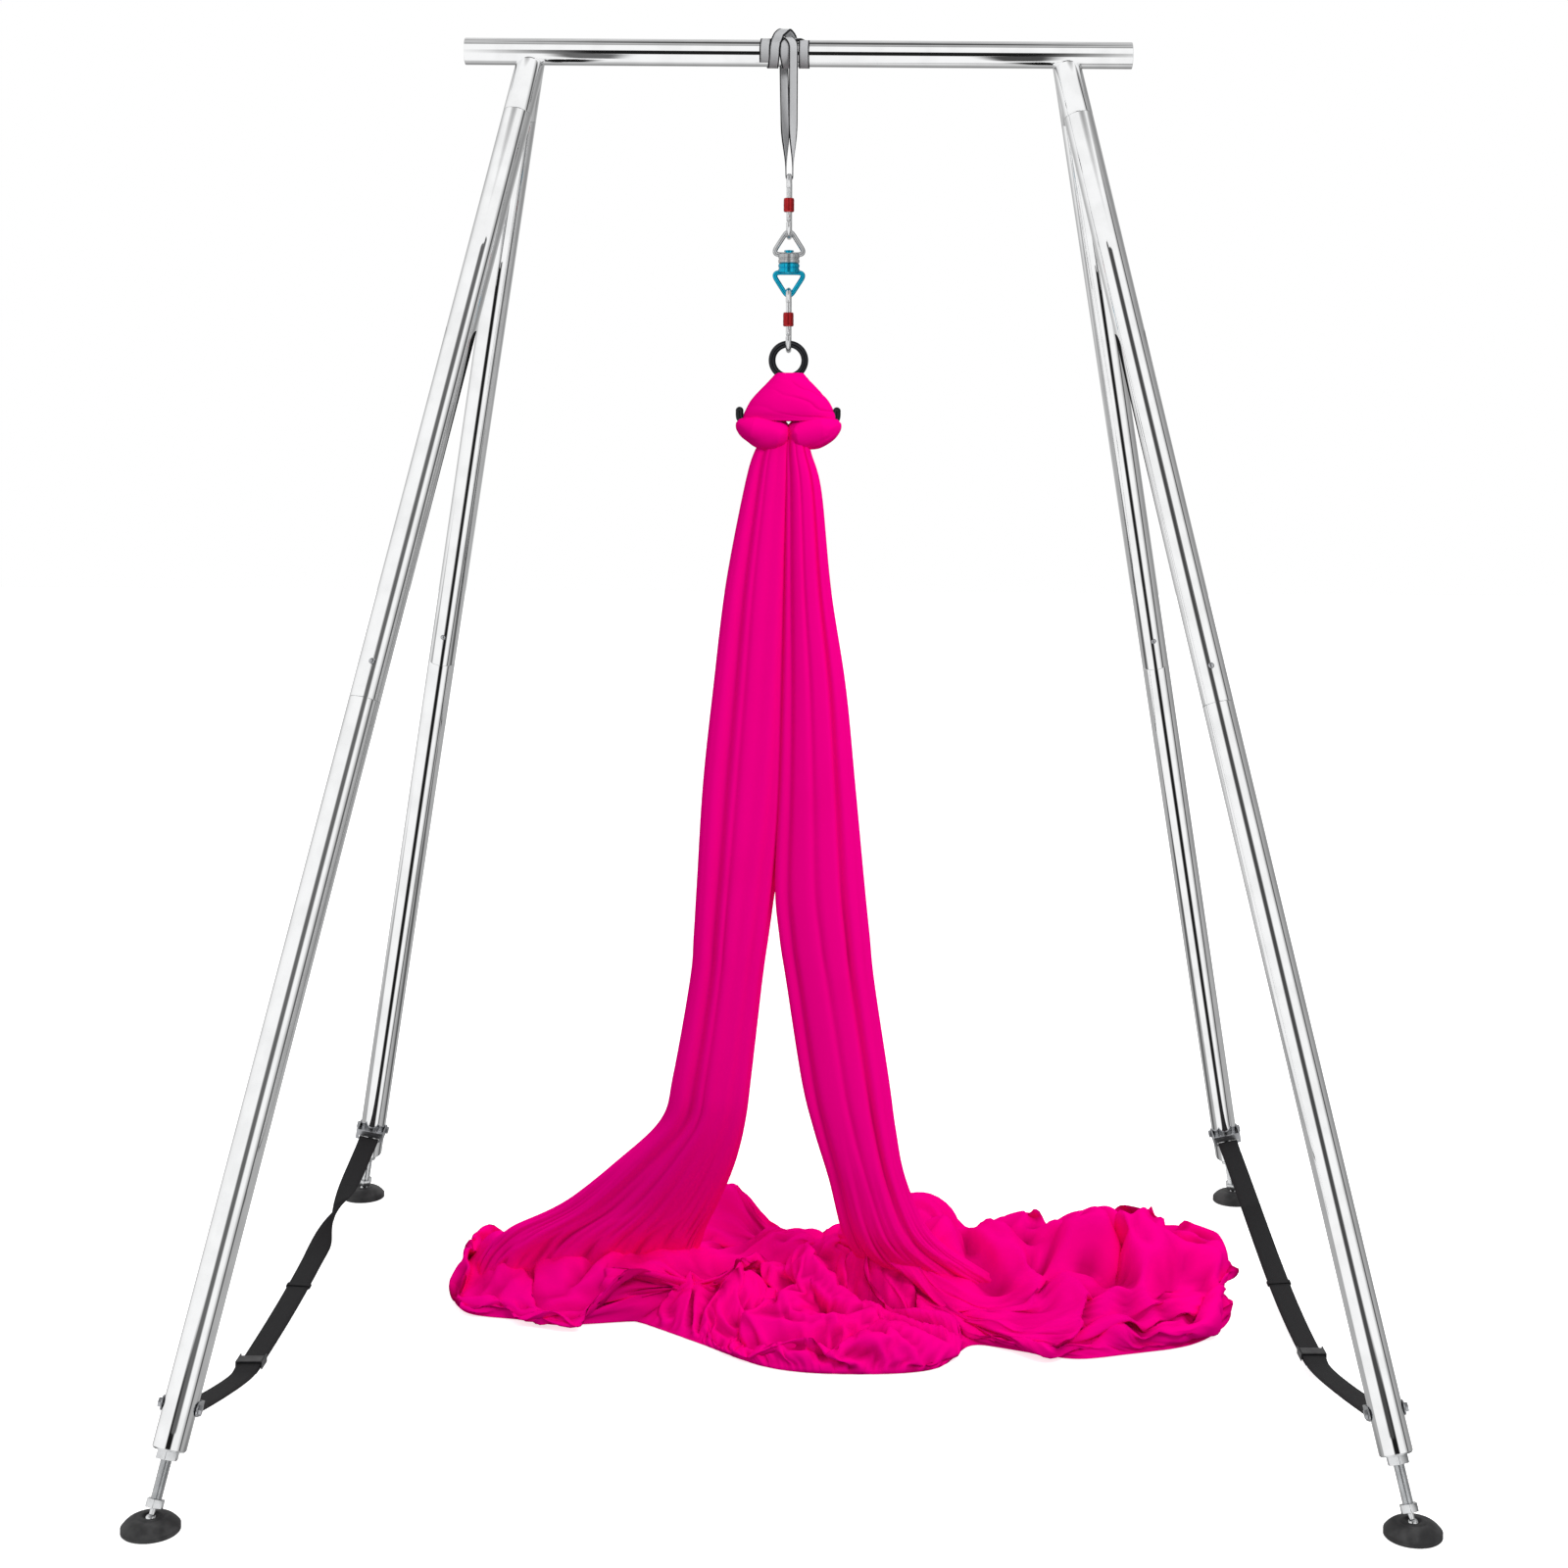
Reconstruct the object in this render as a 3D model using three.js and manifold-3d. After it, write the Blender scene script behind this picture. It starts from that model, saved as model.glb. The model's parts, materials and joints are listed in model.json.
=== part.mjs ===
// Aerial rig: a chrome stand with a crossbar on two pairs of splayed legs, levelling feet and
// a tension strap on each side. A length of silk hangs from the bar by a wound sling, two
// screw-lock carabiners, a swivel and a rescue descender, and lies in a heap on the floor.
// Millimetres, +Z up. The origin is on the floor under the middle of the bar, +X is to the right
// and -Y is the front.
import * as THREE from 'three';
import { mergeVertices } from 'three/addons/utils/BufferGeometryUtils.js';
import Module from 'manifold-3d';

const wasm = await Module();
wasm.setup();

// Driving dimensions of the stand
const barLength = 1500;
const barDiameter = 60;
const barWall = 3;
const barHeight = 2920;
const tubeDiameter = 65;
const tubeWall = 2.5;
const legInset = 143;
const legTopDrop = 40;
const footHalfWidth = 1180;
const footHalfDepth = 1000;

// The gap between pieces that touch, and how far a cutting tool runs past what it cuts
const fit = 0.3;
const overrun = 20;

// Facets of a round piece by its size
const tubeSides = 20;
const padSides = 18;
const smallSides = 12;
const tinySides = 8;
const rodSides = 10;
const hexSides = 6;

const barRadius = barDiameter / 2;
const tubeRadius = tubeDiameter / 2;
const tubeBore = tubeRadius - tubeWall;
const spigotRadius = tubeBore - fit;
const spigotBore = spigotRadius - tubeWall;
const apexHeight = barHeight - legTopDrop;
const legTopHalfSpan = barLength / 2 - legInset;

// Finishes
const finish = (color, metalness, roughness) =>
  new THREE.MeshStandardMaterial({ color, metalness, roughness });
const chrome = finish(0xd8dadc, 1, 0.08);
const zincSteel = finish(0xb9bcc0, 1, 0.3);
const blackRubber = finish(0x17181a, 0, 0.7);
const blackPlastic = finish(0x1b1c1e, 0, 0.5);
const blackWebbing = finish(0x1a1a1c, 0, 0.9);
const greyWebbing = finish(0x9b9d9f, 0, 0.85);
const silverAlloy = finish(0xc9ccd0, 1, 0.2);
const redAlloy = finish(0xb3202c, 1, 0.3);
const blueAlloy = finish(0x1387a8, 1, 0.25);
const blackAlloy = finish(0x141416, 0.8, 0.35);
const pinkSilk = finish(0xf0028c, 0, 0.7);

const vec = (x, y, z) => new THREE.Vector3(x, y, z);
const lerp = THREE.MathUtils.lerp;
const degrees = THREE.MathUtils.degToRad;

// A closed geometry with its shared corners merged, as a solid that can be joined and cut
function solid(geometry) {
  const bare = new THREE.BufferGeometry();
  bare.setAttribute('position', geometry.getAttribute('position'));
  bare.setIndex(geometry.getIndex());
  const merged = mergeVertices(bare);
  const index = merged.getIndex().array;
  const kept = [];
  for (let i = 0; i < index.length; i += 3) {
    const [a, b, c] = [index[i], index[i + 1], index[i + 2]];
    if (a !== b && b !== c && c !== a) kept.push(a, b, c);
  }
  const mesh = new wasm.Mesh({
    numProp: 3,
    vertProperties: Float32Array.from(merged.getAttribute('position').array),
    triVerts: Uint32Array.from(kept),
  });
  return new wasm.Manifold(mesh);
}

// The surface of a solid, as a geometry
function surface(body) {
  const mesh = body.getMesh();
  const geometry = new THREE.BufferGeometry();
  geometry.setAttribute('position', new THREE.BufferAttribute(Float32Array.from(mesh.vertProperties), 3));
  geometry.setIndex(Array.from(mesh.triVerts));
  return geometry;
}

// A round bar or disc along Z between two heights
function round(radius, from, to, sides = smallSides) {
  const bar = new THREE.CylinderGeometry(radius, radius, to - from, sides);
  return bar.rotateX(Math.PI / 2).translate(0, 0, (from + to) / 2);
}

// The same round bar laid along X
const roundAcross = (radius, from, to, sides = smallSides) =>
  round(radius, from, to, sides).rotateY(Math.PI / 2);

// A block between two corners
function block(low, high) {
  const size = high.clone().sub(low);
  const middle = high.clone().add(low).multiplyScalar(0.5);
  return new THREE.BoxGeometry(size.x, size.y, size.z).translate(middle.x, middle.y, middle.z);
}

// A profile of radius and height pairs turned about Z
function turned(profile, sides = smallSides) {
  const points = profile.map(([radius, height]) => new THREE.Vector2(radius, height));
  return facingOut(new THREE.LatheGeometry(points, sides).rotateX(Math.PI / 2));
}

// A wall turned about Z from an outline that closes on itself
const turnedRing = (profile, sides) => turned([...profile, profile[0]], sides);

// A tube along Z between two heights
const tube = (outer, inner, from, to, sides = tubeSides) =>
  turnedRing([[inner, from], [outer, from], [outer, to], [inner, to]], sides);

// An outline in the XZ plane, extruded along Y to both sides of the plane
function plate(shape, thickness, options = {}) {
  const depth = thickness - 2 * (options.bevelThickness ?? 0);
  const body = new THREE.ExtrudeGeometry(shape, { depth, bevelEnabled: false, ...options });
  return body.translate(0, 0, -depth / 2).rotateX(Math.PI / 2);
}

// A shape from a list of points, with its corners rounded by an arc
function roundedOutline(points, radius, Kind = THREE.Shape) {
  const outline = new Kind();
  points.forEach((corner, i) => {
    const before = points[(i + points.length - 1) % points.length];
    const after = points[(i + 1) % points.length];
    const start = corner.clone().add(before.clone().sub(corner).setLength(radius));
    const end = corner.clone().add(after.clone().sub(corner).setLength(radius));
    if (i === 0) outline.moveTo(start.x, start.y);
    else outline.lineTo(start.x, start.y);
    outline.quadraticCurveTo(corner.x, corner.y, end.x, end.y);
  });
  outline.closePath();
  return outline;
}

// Rings of points joined into one closed skin, with a fan over each end or the last ring
// joined to the first one
function loft(rings, isLoop = false) {
  const count = rings[0].length;
  const positions = [];
  rings.forEach((ring) => ring.forEach((p) => positions.push(p.x, p.y, p.z)));
  const index = [];
  const last = isLoop ? rings.length : rings.length - 1;
  for (let i = 0; i < last; i += 1) {
    const next = (i + 1) % rings.length;
    for (let j = 0; j < count; j += 1) {
      const k = (j + 1) % count;
      const [a, b, c, d] = [i * count + j, i * count + k, next * count + k, next * count + j];
      // Both faces of a flat band are split along the same line, so a twisted one keeps its wall
      if (j < count / 2) index.push(a, b, c, a, c, d);
      else index.push(a, b, d, b, c, d);
    }
  }
  if (!isLoop) {
    const ends = [[0, rings[0], false], [rings.length - 1, rings[rings.length - 1], true]];
    ends.forEach(([row, ring, isEnd]) => {
      const middle = ring.reduce((sum, p) => sum.add(p), vec(0, 0, 0)).divideScalar(count);
      const hub = positions.length / 3;
      positions.push(middle.x, middle.y, middle.z);
      for (let j = 0; j < count; j += 1) {
        const a = row * count + j;
        const b = row * count + ((j + 1) % count);
        index.push(...(isEnd ? [a, b, hub] : [b, a, hub]));
      }
    });
  }
  const geometry = new THREE.BufferGeometry();
  geometry.setAttribute('position', new THREE.BufferAttribute(new Float32Array(positions), 3));
  geometry.setIndex(index);
  return facingOut(geometry);
}

// A geometry whose triangles are turned round if they enclose a negative volume
function facingOut(geometry) {
  const p = geometry.getAttribute('position');
  const index = Array.from(geometry.getIndex().array);
  const corner = (i) => vec(p.getX(index[i]), p.getY(index[i]), p.getZ(index[i]));
  let volume = 0;
  for (let i = 0; i < index.length; i += 3) {
    volume += corner(i).dot(corner(i + 1).cross(corner(i + 2)));
  }
  if (volume < 0) {
    for (let i = 0; i < index.length; i += 3) {
      [index[i], index[i + 1]] = [index[i + 1], index[i]];
    }
    geometry.setIndex(index);
  }
  return geometry;
}

// Directions along a list of points
function tangents(points) {
  return points.map((p, i) => {
    const before = points[Math.max(i - 1, 0)];
    const after = points[Math.min(i + 1, points.length - 1)];
    return after.clone().sub(before).normalize();
  });
}

// The four corners of a flat band at a point, from its direction and the way its width runs
function bandCorners(point, way, across, width, thickness) {
  const side = across.clone().addScaledVector(way, -across.dot(way)).setLength(width / 2);
  const up = way.clone().cross(side).setLength(thickness / 2);
  const at = (s, t) => point.clone().addScaledVector(side, s).addScaledVector(up, t);
  return [at(1, 1), at(-1, 1), at(-1, -1), at(1, -1)];
}

// A flat band along a list of points. The across directions give the way its width runs.
function band(points, across, width, thickness) {
  const along = tangents(points);
  return loft(points.map((p, i) => bandCorners(p, along[i], across[i], width, thickness)));
}

// A flat band along points that close on themselves
function loopBand(points, across, width, thickness) {
  const rings = points.map((p, i) => {
    const before = points[(i + points.length - 1) % points.length];
    const after = points[(i + 1) % points.length];
    const way = after.clone().sub(before).normalize();
    return bandCorners(p, way, across[i], width, thickness);
  });
  return loft(rings, true);
}

// A round rod along a list of points in the YZ plane
function rodInPlane(points, radius, sides) {
  const along = tangents(points);
  const rings = points.map((p, i) => {
    const out = vec(0, along[i].z, -along[i].y);
    return Array.from({ length: sides }, (_, j) => {
      const angle = (2 * Math.PI * (j + 0.5)) / sides;
      const aside = vec(radius * Math.sin(angle), 0, 0);
      return p.clone().addScaledVector(out, radius * Math.cos(angle)).add(aside);
    });
  });
  return loft(rings);
}

const rig = new THREE.Group();
rig.name = 'aerial_rig';

// Adds a named piece to a group
function add(group, name, geometry, material) {
  const shape = geometry instanceof THREE.BufferGeometry ? geometry : surface(geometry);
  const mesh = new THREE.Mesh(shape, material);
  mesh.name = name;
  group.add(mesh);
  return mesh;
}

// Legs: their frames, with Z up the leg from the ball of its foot, Y towards the other leg of
// the pair and X across the pair
const ballHeight = 21;
const legVector = vec(legTopHalfSpan - footHalfWidth, -footHalfDepth, apexHeight - ballHeight);
const legLength = legVector.length();
const sides = { left: -1, right: 1 };
const ends = { front: -1, rear: 1 };

function legFrame(side, end) {
  const foot = vec(side * footHalfWidth, end * footHalfDepth, ballHeight);
  const up = vec(side * legVector.x, end * legVector.y, legVector.z).normalize();
  const inward = vec(0, -end, 0);
  inward.addScaledVector(up, -inward.dot(up)).normalize();
  const across = inward.clone().cross(up);
  return new THREE.Matrix4().makeBasis(across, inward, up).setPosition(foot);
}

// Heights up the leg from the ball of the foot
const tubeEnd = 128;
const seamHeight = 1600;
const socketLength = 112;
const socketSpigot = 90;
const jointSpigot = 130;
const boltRise = 76;
const boltUp = tubeEnd + boltRise;
const socketEnd = legLength - socketLength;

// Crossbar
const capDepth = 18;
const capWall = 3;
const bar = tube(barRadius, barRadius - barWall, -barLength / 2, barLength / 2).rotateY(Math.PI / 2);
bar.translate(0, 0, barHeight);
add(rig, 'crossbar', bar, chrome);
Object.entries(sides).forEach(([sideName, side]) => {
  const radius = barRadius - barWall - fit;
  const outline = [[0, 0], [radius, 0], [radius, capDepth], [radius - capWall, capDepth]];
  outline.push([radius - capWall, capWall], [0, capWall]);
  const cap = turned(outline, tubeSides).rotateY(-side * Math.PI / 2);
  cap.translate(side * (barLength / 2 - fit), 0, barHeight);
  add(rig, `crossbar_cap_${sideName}`, cap, blackPlastic);
});

// Sockets: two short stubs welded together under the bar, each with a spigot for its leg
const stubPastTop = 40;
Object.entries(sides).forEach(([sideName, side]) => {
  const stubs = Object.values(ends).map((end) => {
    const outer = solid(round(tubeRadius, socketEnd, legLength + stubPastTop, tubeSides));
    const spigotEnd = socketEnd - socketSpigot;
    const spigot = solid(round(spigotRadius, spigotEnd, socketEnd + overrun, tubeSides));
    const bore = solid(round(spigotBore, spigotEnd - overrun, socketEnd + overrun, tubeSides));
    const stub = outer.add(spigot).subtract(bore).transform(legFrame(side, end).elements);
    const keepLow = vec(-barLength, end < 0 ? -barLength : 0, 0);
    const keepHigh = vec(barLength, end < 0 ? 0 : barLength, barLength + barHeight);
    return stub.intersect(solid(block(keepLow, keepHigh)));
  });
  const barSpace = solid(roundAcross(barRadius + fit, -barLength, barLength, tubeSides));
  const socket = stubs[0].add(stubs[1]).subtract(barSpace.translate([0, 0, barHeight]));
  add(rig, `leg_socket_${sideName}`, socket, chrome);
});

// Leg tubes, snap buttons and end nuts
const buttonRise = 77;
const buttonRadius = 5.7;
const buttonProud = 3.5;
const buttonFlange = 9;
const buttonFlangeThickness = 1.6;
const buttonHeight = seamHeight + buttonRise;
const boltRadius = 5;
const nutHeight = 20;
const nutAcrossCorners = 44;
const plugHeight = 16;
const studRadius = 11;

function upperTube(end) {
  const hole = roundButton(buttonRadius + fit, tubeRadius + overrun, end);
  const body = solid(tube(tubeRadius, tubeBore, seamHeight + fit, socketEnd - fit));
  return body.subtract(hole);
}

// A round tool or button that reaches out of the leg towards the front of the rig
function roundButton(radius, reach, end, start = 0) {
  const bar = round(radius, start, reach, tinySides).rotateX(-end * Math.PI / 2);
  return solid(bar.translate(0, 0, buttonHeight));
}

function lowerTube(end) {
  const shoulder = seamHeight - jointSpigot;
  const outline = [[tubeBore, tubeEnd], [tubeRadius, tubeEnd], [tubeRadius, seamHeight]];
  outline.push([spigotRadius, seamHeight], [spigotRadius, seamHeight + jointSpigot]);
  outline.push([spigotBore, seamHeight + jointSpigot]);
  outline.push([spigotBore, shoulder], [tubeBore, shoulder]);
  const boltHole = solid(roundAcross(boltRadius + fit, -tubeDiameter, tubeDiameter, tinySides));
  const buttonHole = roundButton(buttonRadius + fit, tubeRadius + overrun, end);
  const body = solid(turnedRing(outline, tubeSides));
  return body.subtract(buttonHole).subtract(boltHole.translate([0, 0, boltUp]));
}

function snapButton(end) {
  const flangeFace = Math.sqrt((spigotBore - fit) ** 2 - buttonFlange ** 2);
  const pin = roundButton(buttonRadius, tubeRadius + buttonProud, end, flangeFace - buttonFlangeThickness);
  return pin.add(roundButton(buttonFlange, flangeFace, end, flangeFace - buttonFlangeThickness));
}

function endNut() {
  const plug = solid(round(spigotRadius, tubeEnd - fit, tubeEnd + plugHeight, tubeSides));
  const hexagon = solid(round(nutAcrossCorners / 2, tubeEnd - fit - nutHeight, tubeEnd, hexSides));
  const boreLow = tubeEnd - nutHeight - overrun;
  const bore = round(studRadius + fit, boreLow, tubeEnd + plugHeight + overrun);
  return plug.add(hexagon).subtract(solid(bore));
}

// Levelling feet: a stud with a hexagon collar and a ball, in a domed rubber pad
const ballRadius = 12;
const neckRadius = 6;
const collarBottom = 22;
const collarHeight = 16;
const collarAcrossCorners = 36;
const studInTube = 42;
const padRadius = 55;
const padRim = 19;
const padTop = 30;
const padMouthTop = 15;
const padFoot = 2;
const padShoulder = 24.5;
const padMouthAngle = degrees(118);
const padShoulderSteps = 3;
const ballSteps = 8;
const seatSteps = 6;

// Points of a ball's outline from one angle to another, measured up from its lowest point
const arcPoints = (radius, from, to, steps) => Array.from({ length: steps + 1 }, (_, i) => {
  const angle = lerp(from, to, i / steps);
  return [radius * Math.sin(angle), -radius * Math.cos(angle)];
});

function footStud() {
  const neckAngle = Math.PI - Math.asin(neckRadius / ballRadius);
  const outline = arcPoints(ballRadius, 0, neckAngle, ballSteps);
  outline.push([neckRadius, collarBottom], [studRadius, collarBottom]);
  outline.push([studRadius, tubeEnd + studInTube], [0, tubeEnd + studInTube]);
  const collar = solid(round(collarAcrossCorners / 2, collarBottom, collarBottom + collarHeight, hexSides));
  return solid(turned(outline)).add(collar);
}

// The pad stands upright, so its outline is measured from the ball's centre with Z straight up
function footPad() {
  const low = -ballHeight;
  const seat = ballRadius + 2 * fit;
  const outline = arcPoints(seat, 0, padMouthAngle, seatSteps);
  outline.push([padMouthTop, low + padTop], [padShoulder, low + padTop]);
  for (let i = 1; i <= padShoulderSteps; i += 1) {
    const share = i / padShoulderSteps;
    outline.push([lerp(padShoulder, padRadius, share), low + lerp(padTop, padRim, share * share)]);
  }
  outline.push([padRadius, low + padFoot], [padRadius - padFoot, low], [0, low]);
  return turned(outline, padSides);
}

// Strap brackets: a bent plate bolted through the leg, with a slot for the webbing
const bracketWall = 3;
const bracketHeight = 28;
const bracketStandOff = 6;
const slotHeight = 6;
const slotWidth = 56;
const slotRise = 5;
const boltHeadHeight = 6;
const boltHeadAcrossCorners = 19;
const bracketInner = tubeRadius + fit;
const bracketOuter = bracketInner + bracketWall;
const bridgeNear = tubeRadius + bracketStandOff;
const bridgeFar = bridgeNear + bracketWall;
const bracketLow = boltUp - bracketHeight / 2;
const slotLow = bracketLow + slotRise;

function strapBracket() {
  const earRadius = bracketHeight / 2;
  const ear = solid(roundAcross(earRadius, -bracketOuter, bracketOuter).translate(0, 0, boltUp));
  const cheeksTop = vec(bracketOuter, bridgeFar, bracketLow + bracketHeight);
  const cheeks = block(vec(-bracketOuter, 0, bracketLow), cheeksTop);
  const inside = block(vec(-bracketInner, -tubeDiameter, 0), vec(bracketInner, bridgeNear, legLength));
  const slotTop = vec(slotWidth / 2, tubeDiameter, slotLow + slotHeight);
  const slot = block(vec(-slotWidth / 2, 0, slotLow), slotTop);
  const bolt = roundAcross(boltRadius + fit, -tubeDiameter, tubeDiameter, tinySides);
  const tools = [inside, slot, bolt.translate(0, 0, boltUp)];
  return tools.reduce((body, tool) => body.subtract(solid(tool)), ear.add(solid(cheeks)));
}

function bracketBolt() {
  const reach = bracketOuter + fit;
  const shaft = solid(roundAcross(boltRadius, -reach - boltHeadHeight, reach + boltHeadHeight, tinySides));
  const headRadius = boltHeadAcrossCorners / 2;
  const head = solid(roundAcross(headRadius, reach, reach + boltHeadHeight, hexSides));
  const nut = solid(roundAcross(headRadius, -reach - boltHeadHeight, -reach, hexSides));
  return shaft.add(head).add(nut).translate([0, 0, boltUp]);
}

Object.entries(sides).forEach(([sideName, side]) => {
  Object.entries(ends).forEach(([endName, end]) => {
    const name = `${endName}_${sideName}`;
    const leg = new THREE.Group();
    legFrame(side, end).decompose(leg.position, leg.quaternion, leg.scale);
    rig.add(leg);
    add(leg, `upper_leg_${name}`, upperTube(end), chrome);
    add(leg, `lower_leg_${name}`, lowerTube(end), chrome);
    add(leg, `snap_button_${name}`, snapButton(end), zincSteel);
    add(leg, `leg_end_nut_${name}`, endNut(), zincSteel);
    add(leg, `foot_stud_${name}`, footStud(), zincSteel);
    add(leg, `strap_bracket_${name}`, strapBracket(), zincSteel);
    add(leg, `bracket_bolt_${name}`, bracketBolt(), zincSteel);
    const pad = add(rig, `foot_pad_${name}`, footPad(), blackRubber);
    pad.position.copy(leg.position);
  });
});

// Side straps: webbing from the rear bracket to a cam buckle and on to the front bracket
const webbingWidth = 50;
const webbingThickness = 2;
const loopOverlap = 42;
const eyeSteps = 4;
const strapPullShare = 1 / 3;
const buckleLength = 46;
const buckleWall = 2.5;
const buckleCheek = 17;
const buckleBar = 3;
const webbingPlay = 1;
const buckleInner = webbingWidth / 2 + webbingPlay;
const buckleOuter = buckleInner + buckleWall;
const leverPin = 2.4;
const leverPivotShare = 1 / 6;
const camRadius = 6.5;
const leverLength = 30;
const leverThickness = 3;
const straps = {
  left: { buckleAt: -362, buckleUp: 66, twist: Math.PI, twistShare: 0.42, twistSpanShare: 0.36 },
  right: { buckleAt: -208, buckleUp: 34, twist: 0, twistShare: 0.5, twistSpanShare: 0.5 },
};

// Places in the buckle's own frame: Y along the strap to the front, Z off the webbing
const webbingLow = buckleWall + fit;
const webbingMiddle = webbingLow + webbingThickness / 2;
const camBottom = webbingLow + webbingThickness + fit;
const leverPivotUp = camBottom + camRadius;
const leverPivotAt = -leverPivotShare * buckleLength;
const barAt = buckleLength / 2 - buckleBar - buckleWall;
const barUp = buckleWall + buckleBar + webbingThickness;
const baseEnd = barAt - buckleBar - 2 * webbingThickness;

function buckleBody() {
  const half = buckleLength / 2;
  const base = block(vec(-buckleOuter, -half, 0), vec(buckleOuter, baseEnd, buckleWall));
  const cheek = (side) => {
    const near = Math.min(side * buckleInner, side * buckleOuter);
    return solid(block(vec(near, -half, 0), vec(near + buckleWall, half, buckleCheek)));
  };
  const cross = solid(roundAcross(buckleBar, -buckleInner, buckleInner, tinySides));
  const pin = roundAcross(leverPin + fit, -2 * buckleOuter, 2 * buckleOuter, tinySides);
  const hole = solid(pin.translate(0, leverPivotAt, leverPivotUp));
  const parts = [cheek(-1), cheek(1), cross.translate([0, barAt, barUp])];
  return parts.reduce((body, piece) => body.add(piece), solid(base)).subtract(hole);
}

function buckleLever() {
  const reach = buckleInner - fit;
  const cam = solid(roundAcross(camRadius, -reach, reach).translate(0, leverPivotAt, leverPivotUp));
  const top = leverPivotUp + camRadius;
  const handleLow = vec(-reach, leverPivotAt, top - leverThickness);
  const handle = block(handleLow, vec(reach, leverPivotAt + leverLength, top));
  const pin = solid(roundAcross(leverPin, -buckleOuter, buckleOuter, tinySides));
  return cam.add(solid(handle)).add(pin.translate([0, leverPivotAt, leverPivotUp]));
}

// The eye of webbing that goes round a bar of a bracket or a buckle. It is given in a frame
// with Y out along the strap, from the free end of the fold to where both plies lie together.
// The bar is a box with the given half sizes, or a round one where both are zero.
function eyePoints(barMiddle, halfAcross, halfUp, offset) {
  const ply = webbingThickness + fit;
  const reach = halfUp + offset;
  const at = (y, z) => vec(0, barMiddle.y + y, barMiddle.z + z);
  const points = [at(loopOverlap, -ply), at(loopOverlap / 2, -lerp(reach, ply, 0.5))];
  if (halfAcross > 0) points.push(at(halfAcross, -reach));
  [[-1, -Math.PI / 2], [1, 0]].forEach(([upDown, from]) => {
    for (let i = 0; i <= eyeSteps; i += 1) {
      const angle = from + (i / eyeSteps) * (Math.PI / 2);
      const isRepeat = halfUp === 0 && upDown > 0 && i === 0;
      if (!isRepeat) {
        points.push(at(-halfAcross - offset * Math.cos(angle), upDown * halfUp + offset * Math.sin(angle)));
      }
    }
  });
  if (halfAcross > 0) points.push(at(halfAcross, reach));
  points.push(at(loopOverlap / 2, reach / 2), at(loopOverlap, 0));
  return points;
}

const eyeOffset = fit + webbingThickness / 2;
const bridgeMiddle = vec(0, (bridgeNear + bridgeFar) / 2, bracketLow + slotRise / 2);
const bracketEye = eyePoints(bridgeMiddle, bracketWall / 2, slotRise / 2, eyeOffset);
const buckleEye = eyePoints(vec(0, barAt, barUp), 0, 0, buckleBar + eyeOffset);
const strapSteps = 14;

// Webbing along a smooth curve between two frames, with the across direction turned on the way
function strapCurve(from, to, fromWay, toWay) {
  const pull = from.distanceTo(to) * strapPullShare;
  const near = from.clone().addScaledVector(fromWay, pull);
  const far = to.clone().addScaledVector(toWay, -pull);
  return new THREE.CubicBezierCurve3(from, near, far, to).getPoints(strapSteps);
}

Object.entries(sides).forEach(([sideName, side]) => {
  const shape = straps[sideName];
  const rear = legFrame(side, ends.rear);
  const front = legFrame(side, ends.front);
  const axis = (frame, i) => new THREE.Vector3().setFromMatrixColumn(frame, i);
  const rearEye = bracketEye.map((p) => p.clone().applyMatrix4(rear));
  const frontEye = bracketEye.map((p) => p.clone().applyMatrix4(front));
  const rearStart = rearEye[rearEye.length - 1];
  const frontStart = frontEye[frontEye.length - 1];

  const along = vec(0, frontStart.y - rearStart.y, 0).normalize();
  const buckleX = (rearStart.x + frontStart.x) / 2;
  const place = new THREE.Matrix4().makeBasis(vec(-1, 0, 0), along, vec(0, 0, 1));
  place.setPosition(buckleX, shape.buckleAt, shape.buckleUp);
  const buckle = new THREE.Group();
  place.decompose(buckle.position, buckle.quaternion, buckle.scale);
  rig.add(buckle);
  add(buckle, `strap_buckle_${sideName}`, buckleBody(), zincSteel);
  add(buckle, `buckle_lever_${sideName}`, buckleLever(), blackPlastic);

  const inBuckle = [-buckleLength / 2, 0, baseEnd].map((y) => vec(0, y, webbingMiddle));
  const throughBuckle = inBuckle.map((p) => p.applyMatrix4(place));
  const run = strapCurve(rearStart, throughBuckle[0], axis(rear, 1), along);
  const longPoints = [...rearEye, ...run.slice(1), ...throughBuckle.slice(1)];
  const startAcross = axis(rear, 0);
  const endAcross = vec(-1, 0, 0);
  const longAcross = longPoints.map((p, i) => {
    const share = THREE.MathUtils.clamp((i - rearEye.length + 1) / strapSteps, 0, 1);
    const turn = THREE.MathUtils.smoothstep(
      share,
      shape.twistShare - shape.twistSpanShare / 2,
      shape.twistShare + shape.twistSpanShare / 2,
    );
    const way = startAcross.clone().lerp(endAcross, share).normalize();
    return way.applyAxisAngle(along, turn * shape.twist);
  });
  const long = band(longPoints, longAcross, webbingWidth, webbingThickness);
  add(rig, `strap_long_${sideName}`, long, blackWebbing);

  const buckleEnd = buckleEye.map((p) => p.clone().applyMatrix4(place));
  const join = buckleEnd[buckleEnd.length - 1];
  const shortRun = strapCurve(join, frontStart, along, axis(front, 1).negate());
  const shortPoints = [...buckleEnd, ...shortRun.slice(1), ...frontEye.slice(0, -1).reverse()];
  const frontAcross = axis(front, 0);
  const shortAcross = shortPoints.map((p, i) => {
    const share = THREE.MathUtils.clamp((i - buckleEnd.length + 1) / strapSteps, 0, 1);
    return endAcross.clone().negate().lerp(frontAcross, share).normalize();
  });
  const short = band(shortPoints, shortAcross, webbingWidth, webbingThickness);
  add(rig, `strap_short_${sideName}`, short, blackWebbing);
});

// Where the rigging hangs, a little to the left of the middle of the bar
const hangX = -20;

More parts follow.
